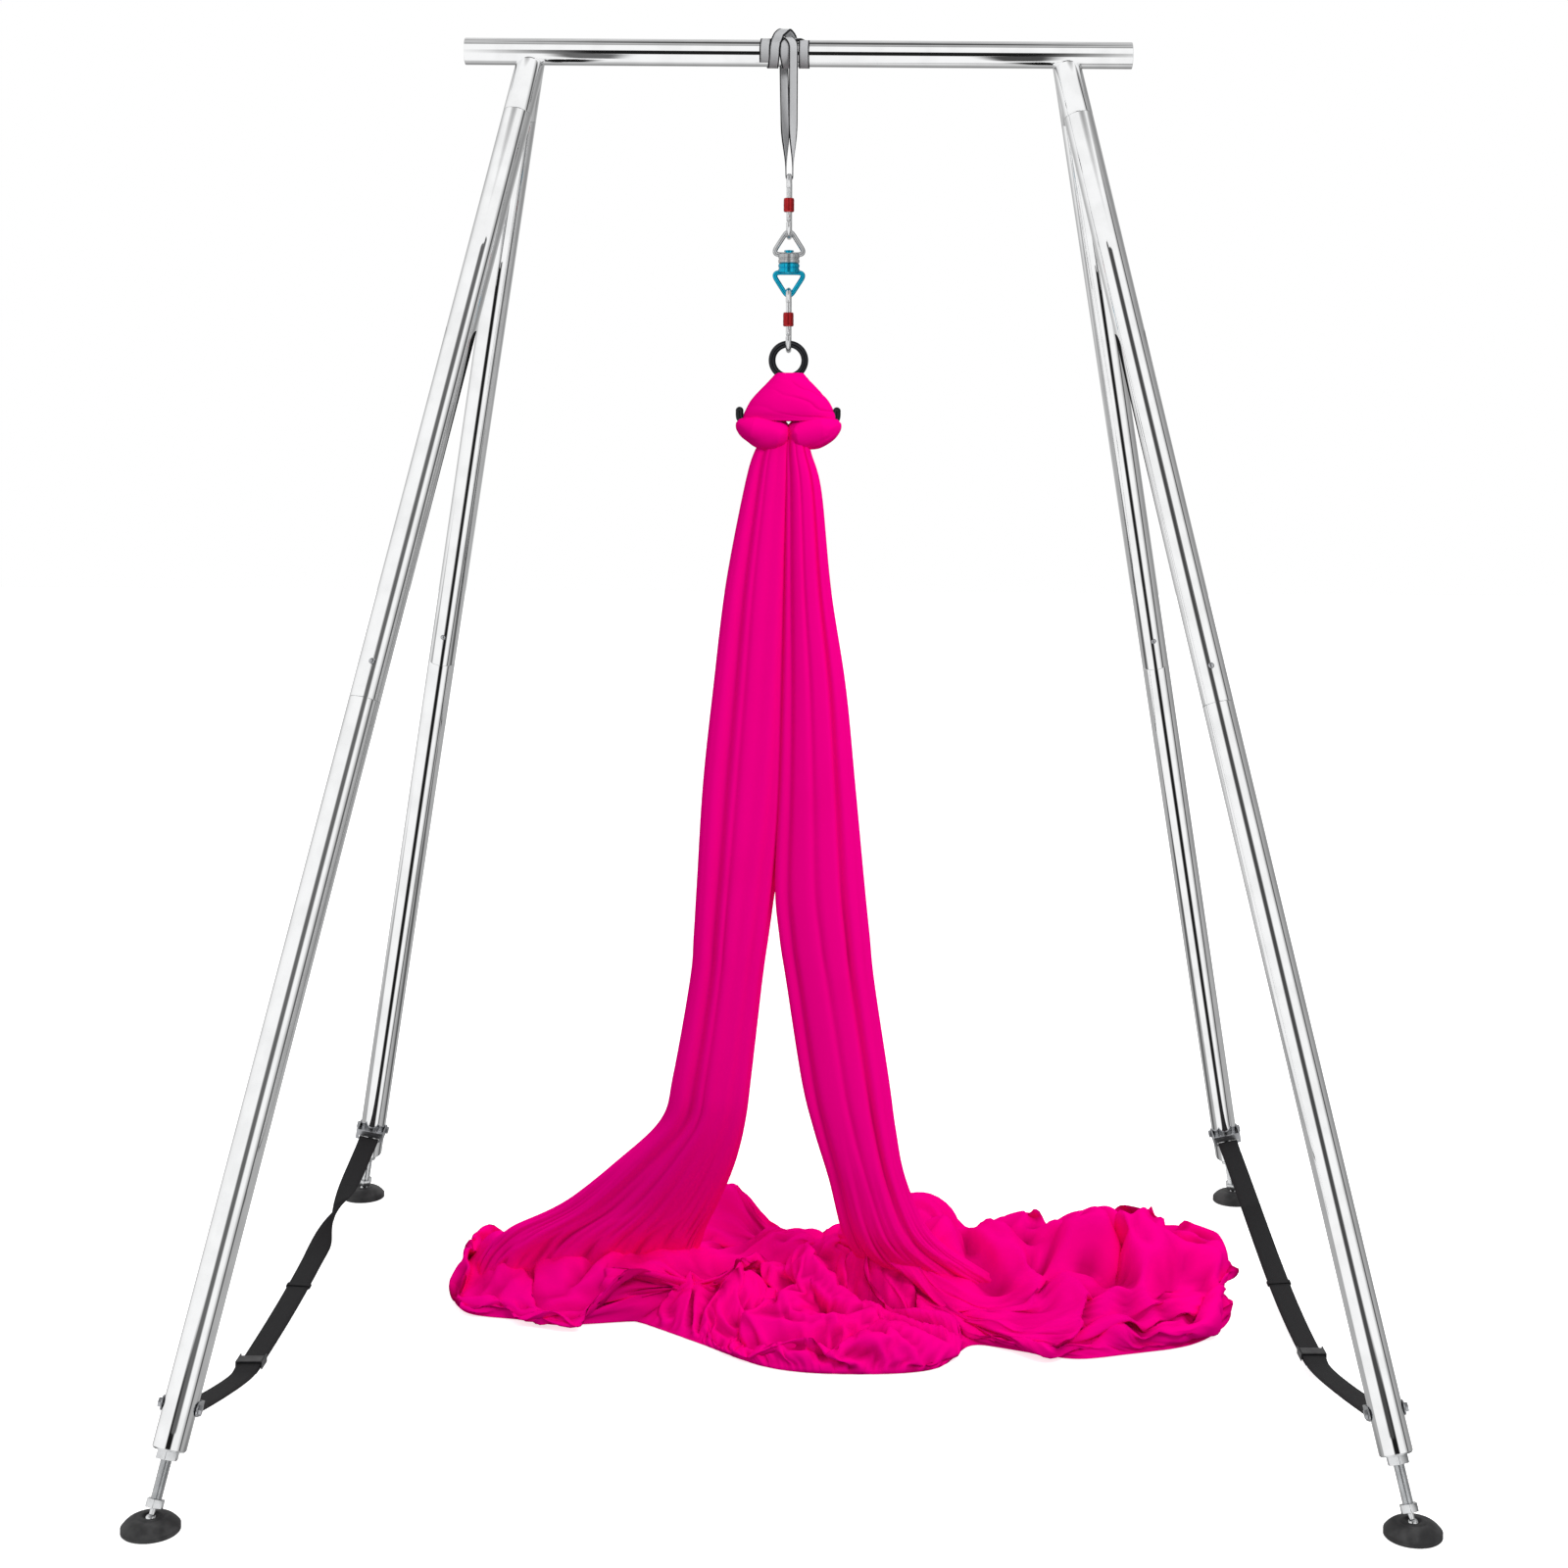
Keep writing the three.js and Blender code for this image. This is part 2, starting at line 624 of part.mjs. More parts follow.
// A rig group that hangs on the vertical line through the sling
const hanging = new THREE.Group();
hanging.position.x = hangX;
rig.add(hanging);

// Carabiners: a bent rod in the YZ plane, with a gate at the front and a sleeve on the gate
const rodRadius = 6;
const carabinerLength = 147;
const carabinerWidth = 84;
const carabinerBend = 26;
const gateRadius = 5.5;
const gateGap = 0.7;
const tongueHalf = 2.2;
const gatePin = 2;
const sleeveRadius = 12;
const sleeveHalf = 15.5;
const sleeveBevel = 2;
const bendSteps = 5;
const halfAlong = carabinerLength / 2 - rodRadius;
const halfWide = carabinerWidth / 2 - rodRadius;
const noseUp = halfAlong - carabinerBend - rodRadius / 2;
const shoulderUp = -noseUp;
const hingeUp = shoulderUp + gateRadius + 2 * fit;

function carabiner(name, topHeight, bodyMaterial, sleeveMaterial) {
  const middle = topHeight - carabinerLength / 2;
  const points = [vec(0, -halfWide, noseUp)];
  const corners = [[-1, 1, Math.PI], [1, 1, Math.PI / 2], [1, -1, 0], [-1, -1, -Math.PI / 2]];
  corners.forEach(([across, upDown, from]) => {
    for (let i = 0; i <= bendSteps; i += 1) {
      const angle = from - (i / bendSteps) * (Math.PI / 2);
      const y = across * (halfWide - carabinerBend) + carabinerBend * Math.cos(angle);
      const z = upDown * (halfAlong - carabinerBend) + carabinerBend * Math.sin(angle);
      points.push(vec(0, y, z));
    }
  });
  points.push(vec(0, -halfWide, shoulderUp));
  const rod = solid(rodInPlane(points, rodRadius, rodSides));
  const tongueEnd = solid(roundAcross(gateRadius - fit, -tongueHalf, tongueHalf));
  const low = vec(-tongueHalf, fit - gateRadius, shoulderUp - hingeUp - rodRadius);
  const tongueBase = solid(block(low, vec(tongueHalf, gateRadius - fit, 0)));
  const pinHole = solid(roundAcross(gatePin + fit, -overrun, overrun, tinySides));
  const tongue = tongueEnd.add(tongueBase).translate([0, -halfWide, hingeUp]);
  const body = rod.add(tongue).subtract(pinHole.translate([0, -halfWide, hingeUp]));
  add(hanging, name, body.translate([0, 0, middle]), bodyMaterial);

  const gateTop = noseUp - gateGap - hingeUp;
  const stem = solid(round(gateRadius, -gateRadius, gateTop));
  const above = solid(block(vec(-overrun, -overrun, 0), vec(overrun, overrun, gateTop + overrun)));
  const rounded = solid(roundAcross(gateRadius, -overrun, overrun));
  const slotTop = 2 * gateRadius;
  const slotLowCorner = vec(-tongueHalf - fit, -overrun, -overrun);
  const slot = solid(block(slotLowCorner, vec(tongueHalf + fit, overrun, slotTop)));
  const pinReach = gateRadius - fit;
  const pin = solid(roundAcross(gatePin, -pinReach, pinReach, tinySides));
  const gate = stem.intersect(above.add(rounded)).subtract(slot).add(pin);
  add(hanging, `${name}_gate`, gate.translate([0, -halfWide, middle + hingeUp]), bodyMaterial);

  const outline = [[gateRadius + fit, -sleeveHalf], [sleeveRadius - sleeveBevel, -sleeveHalf]];
  outline.push([sleeveRadius, sleeveBevel - sleeveHalf], [sleeveRadius, sleeveHalf - sleeveBevel]);
  outline.push([sleeveRadius - sleeveBevel, sleeveHalf], [gateRadius + fit, sleeveHalf]);
  const sleeve = turnedRing(outline, tubeSides).translate(0, -halfWide, middle);
  add(hanging, `${name}_sleeve`, sleeve, sleeveMaterial);
}

const slingDrop = 270;
const topCarabinerTop = barHeight - slingDrop;
const topRodMiddle = topCarabinerTop - rodRadius;
const topCarabinerFloor = topCarabinerTop - carabinerLength + 2 * rodRadius;
carabiner('top_carabiner', topCarabinerTop, silverAlloy, redAlloy);

// Swivel: two turned halves, each with a flat eye, held together by a headed axle
const swivelBaseRadius = 24;
const swivelBase = 22.5;
const swivelPlate = 12;
const swivelBevel = 2;
const eyeHalfWidth = 33;
const eyeWall = 9.5;
const eyeFloor = 4;
const eyeSink = 5;
const eyeRounding = 14;
const eyeOuterRounding = 21;
const eyeCurveSteps = 5;
const tipSteps = 6;
const axleRadius = 8;
const axleHead = 11;
const axleHeadHeight = 3;
const upperEyeInner = topCarabinerFloor + fit;
const eyeHeight = 40;
const upperEyeFloor = upperEyeInner - eyeHeight;
const upperBaseBottom = upperEyeFloor - eyeFloor - swivelBase;

// A rounded triangle that stands on a level line, with its rounded tip at the given height
function eyeOutline(halfWidth, low, tip, rounding, Kind) {
  let top = tip;
  for (let i = 0; i < tipSteps; i += 1) {
    top = tip + (rounding * (top - low)) / Math.hypot(top - low, halfWidth) / 2;
  }
  const corners = [[-halfWidth, low], [halfWidth, low], [0, top]].map(([x, y]) => new THREE.Vector2(x, y));
  return roundedOutline(corners, rounding, Kind);
}

// Half of the swivel with its eye up. Its base stands on z = 0.
function swivelHalf() {
  const floor = swivelBase + eyeFloor;
  const low = swivelBase - eyeSink;
  const tip = floor + eyeHeight + eyeWall;
  const outer = eyeOutline(eyeHalfWidth + eyeWall, low, tip, eyeOuterRounding);
  outer.holes.push(eyeOutline(eyeHalfWidth, floor, floor + eyeHeight, eyeRounding, THREE.Path));
  const bevels = { bevelEnabled: true, bevelThickness: swivelBevel, bevelSize: swivelBevel };
  const steps = { bevelSegments: 1, curveSegments: eyeCurveSteps };
  const options = { ...bevels, ...steps, bevelOffset: -swivelBevel };
  const eye = solid(plate(outer, swivelPlate, options));
  const base = [[0, 0], [swivelBaseRadius - swivelBevel, 0], [swivelBaseRadius, swivelBevel]];
  base.push([swivelBaseRadius, swivelBase - swivelBevel], [swivelBaseRadius - swivelBevel, swivelBase]);
  base.push([0, swivelBase]);
  return eye.add(solid(turned(base, tubeSides)));
}

const axleBore = solid(round(axleRadius + fit, -overrun, swivelBase + 2 * eyeFloor, tubeSides));
const upperHalf = swivelHalf().subtract(axleBore);
add(hanging, 'swivel_upper', upperHalf.translate([0, 0, upperBaseBottom]), silverAlloy);
const axleTop = fit + swivelBase + eyeFloor + fit;
const axle = solid(round(axleRadius, -swivelBase / 2, axleTop + axleHeadHeight / 2));
const axleCap = solid(round(axleHead, axleTop, axleTop + axleHeadHeight));
const lowerHalf = swivelHalf().rotate([180, 0, 0]).add(axle).add(axleCap);
const lowerTop = upperBaseBottom - fit;
add(hanging, 'swivel_lower', lowerHalf.translate([0, 0, lowerTop]), blueAlloy);
const lowerEyeInner = lowerTop - swivelBase - eyeFloor - eyeHeight;

const lowerCarabinerTop = lowerEyeInner + fit + 2 * rodRadius;
carabiner('lower_carabiner', lowerCarabinerTop, silverAlloy, redAlloy);
const lowerCarabinerFloor = lowerCarabinerTop - carabinerLength + 2 * rodRadius;

// Descender: a small ring over a large one, with an ear to each side that is turned up
const smallRingBar = 8;
const smallRingRadius = 37;
const largeRingBar = 9;
const largeRingRadius = 66;
const ringSpacing = 114;
const ringSteps = 20;
const smallRingUp = lowerCarabinerFloor + fit - smallRingRadius + smallRingBar;
const largeRingUp = smallRingUp - ringSpacing;
const earBar = 7;
const earReach = 112;
const earInset = 14;
const earDip = 21;
const earSteps = 9;

// The descender, or a tool with the same outline and all its bars made larger
function descender(extra) {
  const ring = (radius, bar, up) => {
    const geometry = new THREE.TorusGeometry(radius, bar + extra, tinySides, ringSteps);
    return solid(geometry.rotateX(Math.PI / 2).translate(0, 0, up));
  };
  const neckTop = smallRingUp - smallRingRadius;
  const neck = solid(round(largeRingBar + extra, largeRingUp + largeRingRadius, neckTop, tinySides));
  const ear = (side) => {
    const start = vec(side * largeRingRadius, 0, largeRingUp);
    const dip = vec(side * (earReach - earInset), 0, largeRingUp - earDip);
    const turn = vec(side * earReach, 0, largeRingUp - earDip);
    const tip = vec(side * earReach, 0, largeRingUp);
    const path = new THREE.CatmullRomCurve3([start, dip, turn, tip]).getPoints(earSteps);
    const along = tangents(path);
    const rings = path.map((p, i) => Array.from({ length: tinySides }, (_, j) => {
      const angle = (2 * Math.PI * j) / tinySides;
      const out = vec(along[i].z, 0, -along[i].x);
      const reach = earBar + extra;
      const aside = vec(0, reach * Math.sin(angle), 0);
      return p.clone().addScaledVector(out, reach * Math.cos(angle)).add(aside);
    }));
    return solid(loft(rings));
  };
  const parts = [ring(largeRingRadius, largeRingBar, largeRingUp), neck, ear(-1), ear(1)];
  return parts.reduce((body, piece) => body.add(piece), ring(smallRingRadius, smallRingBar, smallRingUp));
}

add(hanging, 'descender', descender(0), blackAlloy);

// Silk hitched over the large ring: a folded hood with the descender in it
const clothFit = 1.5;
const wrapDrop = 88;
const wrapBottom = largeRingUp - wrapDrop;
const foldsRound = 8;
const foldShare = 0.05;
const wrapStations = [
  // height over the large ring's middle, half width, half depth, shift to the right
  [82, 30, 20, 2],
  [62, 52, 30, 3],
  [32, 78, 38, 2],
  [4, 97, 42, 1],
  [-18, 99, 42, 1],
  [-42, 93, 41, 0],
  [-66, 80, 40, -2],
  [-wrapDrop, 64, 38, -3],
];
const wrapSides = 24;
const wrapRings = wrapStations.map(([up, halfWidth, halfDepth, shift], i) => {
  return Array.from({ length: wrapSides }, (_, j) => {
    const angle = (2 * Math.PI * j) / wrapSides;
    const swell = 1 + foldShare * Math.cos(foldsRound * angle + i);
    const x = shift + halfWidth * swell * Math.cos(angle);
    return vec(x, halfDepth * swell * Math.sin(angle), largeRingUp + up);
  });
});
const wrap = solid(loft(wrapRings)).subtract(descender(clothFit));
add(hanging, 'silk_wrap', wrap, pinkSilk);

// The heap's height over the floor: a low mound with rounded folds that dies away at the rim
const heapCentre = vec(80, 230, 0);
const heapFloor = 0.4;
const heapRim = 14;
const heapHem = 5;
const heapRimPower = 6;
const heapOutlineSteps = 240;
const heapOutline = [
  [-800, 270], [-760, 140], [-500, 60], [-250, 90], [-100, -180], [190, -285], [330, -130],
  [640, -125], [860, -60], [985, 190], [900, 430], [720, 560], [490, 530], [300, 500], [100, 400],
  [-180, 520], [-450, 530], [-700, 480],
].map(([x, y]) => vec(x - hangX, y, 0));
const heapRadii = new THREE.CatmullRomCurve3(heapOutline, true, 'centripetal').getPoints(heapOutlineSteps);
const heapBumps = [
  // x, y, height, spread
  [560, 130, 120, 230],
  [800, 200, 105, 170],
  [250, 90, 95, 200],
  [30, 60, 80, 190],
  [-420, 290, 110, 260],
  [-640, 300, 60, 150],
  [560, 400, 90, 200],
  [-60, 330, 70, 220],
];

// Ripples over the mound: their height, their lengths each way and how far they wander
const rippleHeight = 10;
const ripples = { alongX: 37, alongY: 33, wander: 2, wanderAlongX: 83, wanderAlongY: 71 };

function heapHeight(x, y) {
  const mound = heapBumps.reduce((sum, [bumpX, bumpY, height, spread]) => {
    const away = Math.hypot(x + hangX - bumpX, y - bumpY) / spread;
    return Math.max(sum, height * Math.exp(-away * away));
  }, 0);
  const acrossX = Math.sin(x / ripples.alongX + ripples.wander * Math.sin(y / ripples.wanderAlongY));
  const acrossY = Math.sin(y / ripples.alongY + ripples.wander * Math.sin(x / ripples.wanderAlongX));
  return heapRim + mound + rippleHeight * acrossX * acrossY;
}

const heapSteps = 9;
const heapSides = 44;
const heapRings = [];
for (let i = 1; i <= heapSteps; i += 1) {
  heapRings.push(Array.from({ length: heapSides }, (_, j) => {
    const rim = heapRadii[Math.round((j / heapSides) * (heapRadii.length - 1))];
    const p = heapCentre.clone().lerp(rim, i / heapSteps);
    const edge = 1 - (i / heapSteps) ** heapRimPower;
    return vec(p.x, p.y, heapFloor + lerp(heapHem, heapHeight(p.x, p.y), edge));
  }));
}
heapRings.push(heapRings[heapRings.length - 1].map((p) => vec(p.x, p.y, heapFloor)));
add(hanging, 'silk_heap', loft(heapRings), pinkSilk);

// What the heap takes off the tails that stand on it
const toolRings = heapRings.map((ring) => ring.map((p) => vec(p.x, p.y, p.z + fit)));
toolRings.push(heapRings[heapRings.length - 1].map((p) => vec(p.x, p.y, -overrun)));
const heapTool = solid(loft(toolRings));

// The two tails of the silk: pleated columns from the hood to the heap
const tailSides = 16;
const tailFoot = 30;
const tailPleats = 10;
const pleatShare = 0.22;
const tails = {
  // share of the drop to the floor, left edge, right edge, middle in depth, half depth
  left: [
    [0, -87, -26, 0, 26], [0.0444, -112, -27, 0, 30], [0.1528, -154, -30, 0, 34],
    [0.2613, -180, -37, 2, 36], [0.3746, -205, -44, 5, 38], [0.4831, -218, -56, 8, 38],
    [0.594, -234, -74, 16, 38], [0.7049, -274, -96, 34, 40], [0.7616, -305, -110, 62, 44],
    [0.8183, -380, -130, 116, 52], [0.8676, -470, -150, 170, 66], [0.9366, -600, -160, 235, 90],
  ],
  right: [
    [0, -23, 40, 0, 26], [0.0444, -22, 63, 0, 30], [0.1528, -25, 86, 0, 34],
    [0.2613, -32, 119, -2, 36], [0.3746, -39, 141, -4, 38], [0.4831, -42, 161, -6, 38],
    [0.594, -19, 183, -8, 38], [0.7049, 17, 216, -10, 40], [0.7616, 43, 232, -8, 44],
    [0.8183, 77, 254, 0, 50], [0.8676, 105, 275, 10, 54], [0.9366, 120, 310, 20, 64],
  ],
};
const tailSteps = 20;
Object.entries(tails).forEach(([sideName, stations]) => {
  const curve = new THREE.CatmullRomCurve3(stations.map(([share, low, high]) => vec(share, low, high)));
  const inDepth = stations.map(([share, , , middle, half]) => vec(share, middle, half));
  const depths = new THREE.CatmullRomCurve3(inDepth);
  const rings = curve.getPoints(tailSteps).map((p, i) => {
    const depth = depths.getPoint(i / tailSteps);
    const halfWidth = (p.z - p.y) / 2;
    const middle = (p.z + p.y) / 2 - hangX;
    return Array.from({ length: tailSides }, (_, j) => {
      const angle = (2 * Math.PI * j) / tailSides;
      const pleat = 1 - pleatShare * Math.cos(tailPleats * angle) * Math.abs(Math.sin(angle));
      const x = middle + halfWidth * Math.cos(angle);
      const y = depth.y + depth.z * pleat * Math.sin(angle);
      return vec(x, y, wrapBottom - fit - p.x * wrapBottom);
    });
  });
  rings.push(rings[rings.length - 1].map((p) => vec(p.x, p.y, tailFoot)));
  add(hanging, `silk_tail_${sideName}`, solid(loft(rings)).subtract(heapTool), pinkSilk);
});

// Sling: webbing wound round the bar, with an arch over the strands that hang the rigging
const slingWidth = 20;
const slingThickness = 2.2;
const windingRadius = barRadius + fit + slingThickness / 2;
const windingStations = [
  // turns from under the bar by the front, x, lift off the bar
  [0.12, -75, 0], [0.25, -74, 0], [0.5, -70, 0.1], [0.75, -62, 0.3], [1, -54, 0.1], [1.25, -51, 0],
  [1.36, -50, 0], [1.42, -45, 12], [1.5, -30, 24], [1.58, -17, 12], [1.64, -9.5, 0.6], [1.75, -10, 0.2],
  [2, -16, 0], [2.25, -19, 0], [2.32, -17, 0.3], [2.5, -2, 0.9], [2.63, 12, 0.6], [2.75, 12.5, 0],
  [3, 12, 0], [3.25, 11.4, 0], [3.4, 14, 0],
];
const windingStepsPerTurn = 32;
const firstTurn = windingStations[0][0];
const lastTurn = windingStations[windingStations.length - 1][0];
const windingSteps = Math.round((lastTurn - firstTurn) * windingStepsPerTurn);
const windingPoints = Array.from({ length: windingSteps + 1 }, (_, i) => {
  const turn = lerp(firstTurn, lastTurn, i / windingSteps);
  const k = Math.max(1, windingStations.findIndex(([at]) => at >= turn - Number.EPSILON));
  const [before, after] = [windingStations[k - 1], windingStations[k]];
  const share = THREE.MathUtils.smoothstep(turn, before[0], after[0]);
  const radius = windingRadius + lerp(before[2], after[2], share);
  const angle = 2 * Math.PI * turn;
  const x = lerp(before[1], after[1], share);
  return vec(x, -radius * Math.sin(angle), barHeight - radius * Math.cos(angle));
});
const alongBar = windingPoints.map(() => vec(1, 0, 0));
const winding = band(windingPoints, alongBar, slingWidth, slingThickness);
add(rig, 'sling_winding', winding, greyWebbing);

// The least gap from one turn of the winding to the next, measured between the corners of rings
// that are half a turn apart or more
const cornersPerRing = 4;
function leastGap(geometry, stepsPerTurn) {
  const p = geometry.getAttribute('position');
  const corners = Array.from({ length: p.count }, (_, i) => vec(p.getX(i), p.getY(i), p.getZ(i)));
  let least = Infinity;
  for (let i = 0; i < corners.length; i += 1) {
    for (let j = i + cornersPerRing * Math.round(stepsPerTurn / 2); j < corners.length; j += 1) {
      least = Math.min(least, corners[i].distanceTo(corners[j]));
    }
  }
  return least;
}
const windingGap = leastGap(winding, windingStepsPerTurn);
console.log(`least gap between turns of the sling: ${windingGap.toFixed(2)} mm`);

// The strands: one closed loop over the bar and under the bow of the top carabiner
const strandLift = 1.8;
const bowFit = 0.45;
const strandRadius = windingRadius + slingThickness + strandLift;
const bowRadius = rodRadius + bowFit + slingThickness / 2;
const strandTop = { back: -34.7, front: -11.5 };
const crossShares = [0.35, 0.9];
const twistShares = [0.05, 0.55];
const drop = barHeight - topRodMiddle;
const leaving = Math.asin(strandRadius / drop);
const strandPoints = [];
const strandAcross = [];
function strand(point, turn) {
  strandPoints.push(point);
  strandAcross.push(vec(Math.sin(turn * Math.PI / 2), Math.cos(turn * Math.PI / 2), 0));
}
const bowSteps = 8;
for (let i = 0; i <= bowSteps; i += 1) {
  const angle = -Math.PI * (i / bowSteps);
  strand(vec(hangX + bowRadius * Math.cos(angle), 0, topRodMiddle + bowRadius * Math.sin(angle)), 0);
}
const leaveUp = barHeight - strandRadius * Math.sin(leaving);
const backLeave = vec(strandTop.back, strandRadius * Math.cos(leaving), leaveUp);
const frontLeave = vec(strandTop.front, -backLeave.y, backLeave.z);
const backBow = vec(hangX - bowRadius, 0, topRodMiddle);
const frontBow = vec(hangX + bowRadius, 0, topRodMiddle);
const riseSteps = 12;
for (let i = 1; i < riseSteps; i += 1) {
  const share = i / riseSteps;
  strand(backBow.clone().lerp(backLeave, share), THREE.MathUtils.smoothstep(share, ...twistShares));
}
const overSteps = 18;
for (let i = 0; i <= overSteps; i += 1) {
  const share = i / overSteps;
  const angle = lerp(-leaving, Math.PI + leaving, share);
  const x = lerp(strandTop.back, strandTop.front, THREE.MathUtils.smoothstep(share, ...crossShares));
  strand(vec(x, strandRadius * Math.cos(angle), barHeight + strandRadius * Math.sin(angle)), 1);
}
for (let i = 1; i < riseSteps; i += 1) {
  const share = 1 - i / riseSteps;
  strand(frontBow.clone().lerp(frontLeave, share), THREE.MathUtils.smoothstep(share, ...twistShares));
}
add(rig, 'sling_strands', loopBand(strandPoints, strandAcross, slingWidth, slingThickness), greyWebbing);

export default rig;
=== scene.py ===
"""Dresses the aerial rig: a chrome stand with side straps, and silk hung from its crossbar.

Every length is in metres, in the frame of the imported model: the origin is on the floor under the
middle of the stand, +X runs to the right along the crossbar, -Y is the front and +Z is up.
"""

from __future__ import annotations

import json
import logging
import math
from collections.abc import Callable, Iterable, Sequence
from dataclasses import dataclass
from enum import Enum

import bmesh
import bpy
from mathutils import Matrix, Vector, noise

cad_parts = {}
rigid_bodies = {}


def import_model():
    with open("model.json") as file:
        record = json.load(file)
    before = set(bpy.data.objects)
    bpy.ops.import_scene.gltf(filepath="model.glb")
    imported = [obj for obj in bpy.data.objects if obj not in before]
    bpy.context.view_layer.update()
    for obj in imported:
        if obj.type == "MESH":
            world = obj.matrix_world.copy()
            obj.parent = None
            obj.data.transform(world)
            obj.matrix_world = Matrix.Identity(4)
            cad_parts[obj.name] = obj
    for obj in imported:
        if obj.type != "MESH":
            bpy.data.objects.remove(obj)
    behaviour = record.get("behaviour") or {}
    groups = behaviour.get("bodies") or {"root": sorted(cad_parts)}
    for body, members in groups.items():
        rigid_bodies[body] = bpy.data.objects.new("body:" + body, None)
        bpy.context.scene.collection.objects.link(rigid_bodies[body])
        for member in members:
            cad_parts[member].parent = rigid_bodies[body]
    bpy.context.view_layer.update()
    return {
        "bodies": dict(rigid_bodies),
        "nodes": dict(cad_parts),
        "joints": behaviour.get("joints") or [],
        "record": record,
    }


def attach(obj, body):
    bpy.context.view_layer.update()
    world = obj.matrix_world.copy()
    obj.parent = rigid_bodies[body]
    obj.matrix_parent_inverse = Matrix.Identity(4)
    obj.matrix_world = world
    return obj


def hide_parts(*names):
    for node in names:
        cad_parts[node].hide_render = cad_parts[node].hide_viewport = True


LOG = logging.getLogger("aerial_rig")
MM = 0.001
FULL_TURN = 2 * math.pi
FIT = 0.3 * MM
# without a seed, noise vectors start from the clock and no two runs lay the heap alike
NOISE_SEED = 4
Profile = Sequence[tuple[float, float]]
Colour = tuple[float, float, float]


class Side(Enum):
    """The two ends of the crossbar, and which way each lies along X."""

    LEFT = -1
    RIGHT = 1

    @property
    def label(self) -> str:
        """The side, as the names of nodes and pieces have it."""
        return self.name.lower()


class End(Enum):
    """The front and the rear of the stand, and which way each lies along Y."""

    FRONT = -1
    REAR = 1


class Hold(Enum):
    """How a sheet of cloth is held."""

    HUNG = "hung"
    GATHERED = "gathered"
    LAID = "laid"


# Materials


class Wire:
    """An output socket that takes part in Python expressions by adding Math nodes."""

    def __init__(self, graph: Graph, socket: bpy.types.NodeSocket) -> None:
        """Keeps the socket and the graph that it belongs to."""
        self.graph = graph
        self.socket = socket

    def maths(self, operation: str, *values: Wire | float) -> Wire:
        """Adds a Math node.

        Args:
            operation: The Math node's operation.
            values: What goes into its sockets, in order.

        Returns:
            The node's result.
        """
        return self.graph.node("ShaderNodeMath", {"operation": operation}, dict(enumerate(values)))

    def __add__(self, other: Wire | float) -> Wire:
        """The sum of two values."""
        return self.maths("ADD", self, other)

    def __radd__(self, other: float) -> Wire:
        """A number plus this value."""
        return self.maths("ADD", other, self)

    def __sub__(self, other: Wire | float) -> Wire:
        """The difference of two values."""
        return self.maths("SUBTRACT", self, other)

    def __rsub__(self, other: float) -> Wire:
        """A number less this value."""
        return self.maths("SUBTRACT", other, self)

    def __mul__(self, other: Wire | float) -> Wire:
        """The product of two values."""
        return self.maths("MULTIPLY", self, other)

    def __rmul__(self, other: float) -> Wire:
        """A number times this value."""
        return self.maths("MULTIPLY", other, self)

    def __truediv__(self, other: Wire | float) -> Wire:
        """The quotient of two values."""
        return self.maths("DIVIDE", self, other)

    def __rtruediv__(self, other: float) -> Wire:
        """A number divided by this value."""
        return self.maths("DIVIDE", other, self)

    def __abs__(self) -> Wire:
        """This value without its sign."""
        return self.maths("ABSOLUTE", self)

    def sine(self) -> Wire:
        """The sine of this value in radians."""
        return self.maths("SINE", self)

    def ramp(self, low: float, high: float) -> Wire:
        """Maps this value smoothly from zero at low to one at high.

        Args:
            low: Where the result is zero.
            high: Where the result is one.

        Returns:
            The smooth step between them.
        """
        settings = {"interpolation_type": "SMOOTHSTEP"}
        return self.graph.node("ShaderNodeMapRange", settings, {0: self, 1: low, 2: high})


